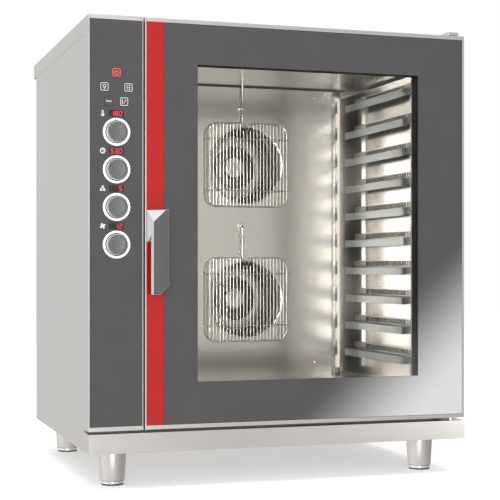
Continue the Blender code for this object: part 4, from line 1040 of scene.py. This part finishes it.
# %% Heating rods
HEATER_R, ROD_R, LEG_ASIDE, LEG_BEND = 0.122, 0.0040, 0.020, 0.004
SPIRAL_DEEP = 0.016
LEAN_TO_LEG = math.asin(LEG_ASIDE / HEATER_R)
for level in ("upper", "lower"):
    centre = AXIS_AT[f"fan_{level}_spin"]
    low, high = corners("heater_" + level)
    near, far = float(low[1]) + ROD_R, float(high[1])
    angle = np.linspace(LEAN_TO_LEG, 2 * math.tau - LEAN_TO_LEG, 120) - math.pi / 2
    depth = near + (angle - angle[0]) / (angle[-1] - angle[0]) * SPIRAL_DEEP
    spiral = np.column_stack([centre[0] + HEATER_R * np.cos(angle), depth,
                              centre[2] + HEATER_R * np.sin(angle)])
    first, last = spiral[0] + (0, LEG_BEND, 0), spiral[-1] + (0, LEG_BEND, 0)
    path = np.vstack([(first[0], far, first[2]), first, spiral[2:-2], last,
                      (last[0], far, last[2])])
    # The rod is darkened: painted shade of the compartment behind the guard.
    rod = finish_piece("heater_rod_" + level, *tube(path, ROD_R, 10), heater_shade_steel, "oven",
                       "zinc_plate")
    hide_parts("heater_" + level)
print("heating rods", 2)

# %% [markdown]
# ## Water pipes
# A thin pipe drops from the ceiling to the upper guard, and another comes through the fan wall
# and bends down to the lower guard. Each has a nut where it comes in and a round clip below it.
# The fan wall's screws and the bead of sealant between it and the ceiling are made here too.

# %% Pipes, clamps and screws
PIPE_R, PIPE_BEND = 0.0035, 0.010
CLIP_BELOW_CEILING, CLIP_BELOW_ELBOW = 0.062, 0.030
NUT = [(0.0, 0.005), (0.0078, 0.005), (0.009, 0.004), (0.009, 0.001), (0.0078, 0.0), (0.0, 0.0)]
CLIP = [(0.0, 0.0068), (0.0040, 0.0064), (0.0052, 0.0050), (0.0052, 0.0), (0.0, 0.0)]
upper_low, upper_high = corners("water_pipe_upper")
lower_low, lower_high = corners("water_pipe_lower")
pipe_x = middle_of("water_pipe_upper")[0]
pipe_y = float(lower_low[1]) + PIPE_R
elbow = float(lower_high[2]) - 0.009
upper = [tube([(pipe_x, pipe_y, upper_low[2]), (pipe_x, pipe_y, CAVITY_CEILING - 0.05),
               (pipe_x, pipe_y, upper_high[2])], PIPE_R, 14),
         turned(NUT, (pipe_x, pipe_y, CAVITY_CEILING + 0.0024), (0, 0, 1), 6)]
lower = [tube(bent([(pipe_x, pipe_y, lower_low[2]), (pipe_x, pipe_y, elbow),
                    (pipe_x, lower_high[1], elbow)], PIPE_BEND, 8), PIPE_R, 14),
         turned(NUT, (pipe_x, BAFFLE_FACE - OFF_WALL, elbow), OUT, 6)]
for pipe_parts, clip_z in ((upper, CAVITY_CEILING - CLIP_BELOW_CEILING),
                           (lower, elbow - CLIP_BELOW_ELBOW)):
    pipe_parts.append(turned(CLIP, (pipe_x, pipe_y, clip_z), OUT, 20))
pipe = finish_piece("water_tube_upper", *joined(upper), polished, "oven", "stainless_bright")
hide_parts("water_pipe_upper")
pipe = finish_piece("water_tube_lower", *joined(lower), polished, "oven", "stainless_bright")
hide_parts("water_pipe_lower")
SCREW = [(0.0, 0.0022), (0.0022, 0.0021), (0.0042, 0.0013), (0.0050, 0.0002), (0.0, 0.0002)]
SCREW_PLACES = ((-0.017, 0.847 - 0.116), (0.202, 0.885 - 0.116), (-0.017, 0.345),
                (0.202, 0.040), (-0.250, 0.769), (-0.250, 0.040))
screws = [turned(SCREW, (CAVITY_MID + dx, BAFFLE_FACE, CAVITY_FLOOR + dz), OUT, 20)
          for dx, dz in SCREW_PLACES]
finish_piece("baffle_screws", *joined(screws), polished, "oven", "stainless_bright")
BEAD_R, BEAD_SHORT = 0.0018, 0.045
bead = [(x, BAFFLE_FACE - 0.0016, CAVITY_CEILING - 0.0022)
        for x in (CAVITY_LEFT + BEAD_SHORT, CAVITY_MID, CAVITY_RIGHT - BEAD_SHORT)]
finish_piece("ceiling_bead", *tube(bead, BEAD_R, 10), seal_dark, "oven", "rubber_black")
print("pipes 2, screws", len(SCREW_PLACES))

# %% [markdown]
# ## Tray racks
# Ten runners a side. A runner is one sheet profile carried along the depth of the oven: a
# standing face, a ledge that goes out to the wall and a strip up the wall. Near the door its
# face bends outwards, so a tray finds its way in. The strip above each ledge is cut into a comb,
# and two posts and a row of studs hold the rack to the wall.

# %% Runner profile and comb
LEVELS, LEVEL_PITCH, FIRST_LEVEL = 10, 0.075, 0.058
RUNNER_H, STRIP_H, RUNNER_SHEET, STRIP_OFF = 0.0195, 0.0185, 0.0015, 0.0045
LEAD_LONG, LEAD_DEEP, LEAD_LIFT = 0.048, 0.016, 0.006
TEETH, TOOTH_PITCH, TOOTH_WIDE, TOOTH_FROM = 21, 0.0138, 0.0062, 0.054
TOOTH_LOW, RAIL_H, PLAIN_END = 0.004, 0.0022, 0.078
POST_THICK, POST_WIDE, POST_FOOT = 0.005, 0.020, 0.030


def runner(face, wall, z, y0, y1):
    """The sheet profile along y; near the front its face moves to the wall with a cosine."""
    side = 1.0 if wall > face else -1.0
    t = RUNNER_SHEET
    reach = abs(wall - face) - STRIP_OFF
    edge = t * 0.6
    section = np.array([(0.0, 0.0), (t, 0.0), (t, RUNNER_H - t), (reach - t, RUNNER_H - t),
                        (reach, RUNNER_H - t), (reach, RUNNER_H + TOOTH_LOW),
                        (reach - t, RUNNER_H + TOOTH_LOW), (reach - t, RUNNER_H),
                        (edge, RUNNER_H), (0.0, RUNNER_H - edge)])
    y = np.concatenate([np.linspace(y0, y0 + LEAD_LONG, 12),
                        np.linspace(y0 + LEAD_LONG, y1, 4)[1:]])
    lead = np.clip(1 - (y - y0) / LEAD_LONG, 0, 1)
    shift = LEAD_DEEP * (1 - np.cos(math.pi / 2 * lead))
    near_face = np.clip(1 - section[:, 0] / reach, 0, 1)
    x = face + side * (section[:, 0] + shift[:, None] * near_face)
    lift = LEAD_LIFT * lead[:, None] ** 2 * (section[:, 1] < 0.001)
    rings = np.stack([x, np.repeat(y[:, None], len(section), 1), z + section[:, 1] + lift], -1)
    return rings.reshape(-1, 3), ring_faces(len(y), len(section))


def comb(face, wall, z, y0, y1):
    """The strip above a ledge: a row of teeth, a rail along their tops and a plain back end."""
    side = 1.0 if wall > face else -1.0
    x = sorted((wall - side * STRIP_OFF, wall - side * (STRIP_OFF + RUNNER_SHEET)))
    low, high = z + RUNNER_H + TOOTH_LOW, z + RUNNER_H + STRIP_H
    start = y0 + TOOTH_FROM
    teeth = start + np.arange(TEETH) * TOOTH_PITCH
    lows = [(x[0], y, low) for y in teeth]
    highs = [(x[1], y + TOOTH_WIDE, high - RAIL_H) for y in teeth]
    rails = [(x[0], start, high - RAIL_H), (x[0], y1 - PLAIN_END, low)]
    rail_ends = [(x[1], y1 - PLAIN_END - 0.001, high), (x[1], y1, high)]
    return blocks(lows, highs), blocks(rails, rail_ends)


STUD = [(0.0, 0.0050), (0.0030, 0.0048), (0.0046, 0.0030), (0.0050, 0.0), (0.0, 0.0)]
for side_name in ("left", "right"):
    low, high = corners("rack_" + side_name)
    y0, y1 = float(low[1]), float(high[1])
    face, wall = float(low[0]), float(high[0])
    outward = 1.0
    if side_name == "left":
        face, wall, outward = wall, face, -1.0
    runners, combs, rails, studs = [], [], [], []
    for level in range(LEVELS):
        z = CAVITY_FLOOR + FIRST_LEVEL + level * LEVEL_PITCH
        runners.append(runner(face, wall, z, y0, y1))
        teeth, rail = comb(face, wall, z, y0, y1)
        combs.append(teeth)
        rails.append(rail)
        studs.append(turned(STUD, (wall - outward * 0.0062, y0 + 0.031, z + 0.030),
                            (-outward, 0, 0), 18))
    near, far = sorted((wall, wall - outward * POST_THICK))
    post_places = (y0 + 0.060, y1 - 0.050)
    posts = [(near, y, CAVITY_FLOOR + POST_FOOT) for y in post_places]
    post_ends = [(far, y + POST_WIDE, float(high[2]) - 0.004) for y in post_places]
    rack = finish_piece("runners_" + side_name, *joined(runners), steel_runner, "oven",
                        "stainless_bright", 30.0)
    # The comb blocks are near-black: painted shade where the slotted strip looks dark.
    finish_piece("combs_" + side_name, *joined(combs), comb_shade_steel, "oven", "stainless_bright")
    finish_piece("comb_rails_" + side_name, *joined(rails), wire_steel, "oven",
                 "stainless_bright")
    finish_piece("rack_studs_" + side_name, *joined(studs), polished, "oven", "stainless_bright")
    finish_piece("rack_posts_" + side_name, *blocks(posts, post_ends), steel_cavity, "oven",
                 "stainless_bright")
    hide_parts("rack_" + side_name)
print("racks 2 with", LEVELS, "levels")

# %% [markdown]
# ## Feet
# A foot is a tapered steel sleeve with a screwed foot in it. Between the two is a thin ring, and
# a black pad keeps the foot from sliding. All three are turned, and the sleeve is left hollow,
# so the foot can slide out of it.

# %% Feet
SLEEVE_TOP, SLEEVE_LOW = 0.03275, 0.028
SLEEVE_HOLE, SLEEVE_HOLE_LOW = 0.0224, 0.0228
SCREW_R, SCREW_UP, FOOT_RING, FOOT_R, PAD_H = 0.0216, 0.012, 0.0272, 0.0262, 0.0038
DOWN = (0.0, 0.0, -1.0)
for corner in ("fl", "fr", "rl", "rr"):
    low, high = corners("foot_sleeve_" + corner)
    x, y = float(low[0] + high[0]) / 2, float(low[1] + high[1]) / 2
    top, bottom = float(high[2]), float(low[2])
    height = top - bottom
    reach = bottom - float(corners("foot_" + corner)[0][2])
    sleeve = eased([(SLEEVE_HOLE, 0.002), (SLEEVE_HOLE, 0.0), (SLEEVE_TOP, 0.0),
                    (SLEEVE_LOW + 0.0004, height), (SLEEVE_HOLE_LOW, height), (0.0226, 0.004),
                    (SLEEVE_HOLE, 0.002)], 0.0007, 4)
    piece = finish_piece("foot_tube_" + corner, *turned(sleeve, (x, y, top), DOWN, 72),
                         steel_upright, "oven", "stainless_brushed")
    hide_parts("foot_sleeve_" + corner)
    screw = [(0.0, SCREW_UP - height), (SCREW_R, SCREW_UP - height), (SCREW_R, 0.0009),
             (0.0266, 0.0009), (FOOT_RING, 0.0016), (FOOT_RING, 0.0040), (FOOT_R, 0.0048),
             (FOOT_R, reach - PAD_H), (0.0, reach - PAD_H)]
    piece = finish_piece("foot_screw_" + corner, *turned(screw, (x, y, bottom), DOWN, 72),
                         polished, "foot_" + corner, "stainless_bright")
    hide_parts("foot_" + corner)
    pad = eased([(0.0, reach - PAD_H + 0.0002), (0.0260, reach - PAD_H + 0.0002),
                 (0.0260, reach), (0.0, reach)], 0.0009, 4)
    finish_piece("foot_pad_" + corner, *turned(pad, (x, y, bottom), DOWN, 56), rubber,
                 "foot_" + corner, "rubber_black")
print("feet", 4)

# %% [markdown]
# ## Floor
# The oven stands on a pale studio floor that fades into the white behind it. A curved backdrop
# could do that; a wide flat sheet with a faint glow of its own is simpler and has no fold. The
# steel doesn't mirror it, because a real floor this bright would wash out the undersides.

# %% Floor
floor_finish = moulded("pale floor", (0.90, 0.90, 0.90), 0.75, 30.0, 0.00002,
                       Emission_Color=(1.0, 1.0, 1.0, 1.0), Emission_Strength=0.26)
FLOOR_HALF = 14.0


def flat_sheet(name, half_x, half_y, finish):
    """A rectangle that lies flat round its own origin, as one face."""
    mesh = bpy.data.meshes.new(name)
    mesh.from_pydata([(-half_x, -half_y, 0), (half_x, -half_y, 0), (half_x, half_y, 0),
                      (-half_x, half_y, 0)], [], [(0, 1, 2, 3)])
    mesh.materials.append(finish)
    sheet = bpy.data.objects.new(name, mesh)
    bpy.context.scene.collection.objects.link(sheet)
    return sheet


floor = flat_sheet("floor", FLOOR_HALF, FLOOR_HALF, floor_finish)
floor.visible_glossy = False
print("floor", 2 * FLOOR_HALF, "m wide")

# %% [markdown]
# ## White room
# The room is plain white to the camera. The room that lights the oven and that the steel mirrors
# is not even: it is brighter on the left and darker on the right, which gives round parts a
# bright side. A picture of a room could do this; a ramp across the world's own direction needs
# no file, and each of its tones can be set alone.

# %% Room of two kinds
world = bpy.data.worlds.new("white room")
bpy.context.scene.world = world
world.use_nodes = True
tree = world.node_tree
tree.nodes.clear()
output = tree.nodes.new("ShaderNodeOutputWorld")
seen = tree.nodes.new("ShaderNodeBackground")
seen.inputs["Color"].default_value = (1.0, 1.0, 1.0, 1.0)
lighting = tree.nodes.new("ShaderNodeBackground")
pick = tree.nodes.new("ShaderNodeMixShader")
rays = tree.nodes.new("ShaderNodeLightPath")
where = tree.nodes.new("ShaderNodeTexCoord")
split = tree.nodes.new("ShaderNodeSeparateXYZ")
ramp = tree.nodes.new("ShaderNodeValToRGB")
sideways = tree.nodes.new("ShaderNodeMapRange")
sideways.inputs["From Min"].default_value = -1.0
tree.links.new(where.outputs["Generated"], split.inputs["Vector"])
tree.links.new(split.outputs["X"], sideways.inputs["Value"])
tree.links.new(sideways.outputs["Result"], ramp.inputs["Fac"])
room = [(0.0, (1.25, 1.24, 1.22)), (0.12, (1.10, 1.09, 1.08)), (0.35, (0.80, 0.80, 0.80)),
        (0.62, (0.86, 0.85, 0.82)), (0.85, (0.62, 0.62, 0.62)), (1.0, (0.50, 0.50, 0.50))]
while len(ramp.color_ramp.elements) < len(room):
    ramp.color_ramp.elements.new(0.5)
for element, (position, colour) in zip(ramp.color_ramp.elements, room):
    element.position = position
    element.color = (*colour, 1.0)
tree.links.new(ramp.outputs["Color"], lighting.inputs["Color"])
tree.links.new(rays.outputs["Is Camera Ray"], pick.inputs["Fac"])
tree.links.new(lighting.outputs["Background"], pick.inputs[1])
tree.links.new(seen.outputs["Background"], pick.inputs[2])
tree.links.new(pick.outputs["Shader"], output.inputs["Surface"])
print("room has", len(room), "tones")

# %% [markdown]
# ## Lamps
# Two wide lamps hang overhead and in front, and the steel mirrors a panel behind the camera. In
# the cavity, a strip behind the door's left edge lights the right rack and wall, and two weak
# ones on the right light the fan wall and its rolled edge. A small lamp low on the right is for
# the apron only. Stronger lamps outside would reach the cavity too, but they would burn out the
# casing first. No lamp is in the picture itself.


# %% Lamps
def lights_only(light, piece_name):
    """Keeps a light to one piece: nothing else receives it."""
    receivers = bpy.data.collections.new("lit by the " + light.name)
    receivers.objects.link(bpy.data.objects[piece_name])
    light.light_linking.receiver_collection = receivers


def area_light(name, place, target, width, height, power, colour=(1.0, 1.0, 1.0)):
    """A soft rectangular lamp at a place, turned to face the target and never seen itself."""
    data = bpy.data.lights.new(name, "AREA")
    data.shape = "RECTANGLE"
    data.size, data.size_y = width, height
    data.energy = power
    data.color = colour
    light = bpy.data.objects.new(name, data)
    light.location = place
    aim = Vector(target) - Vector(place)
    light.rotation_euler = aim.to_track_quat("-Z", "Y").to_euler()
    light.visible_camera = False
    bpy.context.scene.collection.objects.link(light)
    return light


LAMP_Y, LAMP_Z = FRONT + 0.085, 0.60
GAP_Y = BAFFLE_FACE + 0.030
area_light("overhead", (0.0, -0.6, 4.2), (0.0, -0.2, 0.0), 4.5, 4.0, 120.0)
area_light("cavity strip", (CAVITY_LEFT + 0.030, LAMP_Y, LAMP_Z + 0.02),
           (CAVITY_RIGHT, BAFFLE_FACE - 0.10, LAMP_Z), 0.020, 0.66, 2.3, (1.0, 0.96, 0.91))
fill = area_light("front fill", (-1.6, -4.5, 2.2), (0.0, -0.38, 0.5), 3.0, 3.0, 55.0)
fill.visible_glossy = False
fill.data.specular_factor = 0.0
area_light("right strip", (CAVITY_RIGHT - 0.026, LAMP_Y, LAMP_Z),
           (CAVITY_MID, BAFFLE_FACE, LAMP_Z), 0.050, 0.76, 0.05, (1.0, 0.96, 0.90))
gap = area_light("air gap glow", (CAVITY_RIGHT - 0.003, GAP_Y, LAMP_Z),
                 (CAVITY_MID, GAP_Y, LAMP_Z), 0.100, 0.76, 0.22, (1.0, 0.97, 0.92))
lights_only(gap, "fan_baffle_skin")
wash = area_light("apron wash", (1.25, -1.5, 0.30), (0.30, -0.38, 0.10), 0.6, 0.4, 5.0)
lights_only(wash, "base_tray_skin")
area_light("behind the camera", (-1.15, -3.7, 0.6), (-0.4, 0.0, 0.6), 1.7, 2.2, 50.0)
print("lamps", len(bpy.data.lights))

# %% [markdown]
# ## The bright card
# A sheet of light stands low on the right, close to the door, and only the door's pane mirrors
# it. Its strength is a smooth ramp across it, so its image in the glass fades instead of ending
# in a line. It adds light and is see-through, so it never hides anything behind it.

# %% Card
CARD_LIGHT = 11.0
CARD_HALF_W, CARD_HALF_H = 0.35, 0.46
FADE_FROM, FADE_TO = -0.304, -0.012
card_finish = bpy.data.materials.new("light card")
card_finish.use_nodes = True
tree = card_finish.node_tree
tree.nodes.clear()
output = tree.nodes.new("ShaderNodeOutputMaterial")
emission = tree.nodes.new("ShaderNodeEmission")
where = tree.nodes.new("ShaderNodeTexCoord")
split = tree.nodes.new("ShaderNodeSeparateXYZ")
fade = tree.nodes.new("ShaderNodeMapRange")
fade.interpolation_type = "SMOOTHSTEP"
fade.inputs["From Min"].default_value = FADE_FROM
fade.inputs["From Max"].default_value = FADE_TO
fade.inputs["To Max"].default_value = CARD_LIGHT
tree.links.new(where.outputs["Object"], split.inputs["Vector"])
tree.links.new(split.outputs["X"], fade.inputs["Value"])
tree.links.new(fade.outputs["Result"], emission.inputs["Strength"])
clear = tree.nodes.new("ShaderNodeBsdfTransparent")
added = tree.nodes.new("ShaderNodeAddShader")
tree.links.new(emission.outputs["Emission"], added.inputs[0])
tree.links.new(clear.outputs["BSDF"], added.inputs[1])
tree.links.new(added.outputs["Shader"], output.inputs["Surface"])
card = flat_sheet("light_card", CARD_HALF_W, CARD_HALF_H, card_finish)
card.location = (0.75, -1.0, 0.15)
card.rotation_euler = (math.radians(90), math.radians(45), 0)
card.visible_camera = False
card.visible_diffuse = False
lights_only(card, "door_pane")
print("card at", tuple(card.location))

# %% [markdown]
# ## Camera
# The camera stands a little to the left of the oven, level with the middle of the door, and far
# enough away that the sides hardly narrow. It stays level, so upright edges stay upright; a small
# shift up frames the oven.

# %% Camera
CAMERA_PLACE = (-1.0270, -3.2591, 0.4996)
CAMERA_TURN = 18.0876
FOCAL_MM, SENSOR_MM, SHIFT_UP = 94.13, 36.0, 0.0367
lens = bpy.data.cameras.new("camera")
lens.lens = FOCAL_MM
lens.sensor_width = SENSOR_MM
lens.shift_y = SHIFT_UP
camera = bpy.data.objects.new("camera", lens)
camera.location = CAMERA_PLACE
camera.rotation_euler = (math.radians(90), 0.0, math.radians(-CAMERA_TURN))
bpy.context.scene.collection.objects.link(camera)
bpy.context.scene.camera = camera
bpy.context.scene.view_settings.view_transform = "Standard"
print("camera at", tuple(camera.location))
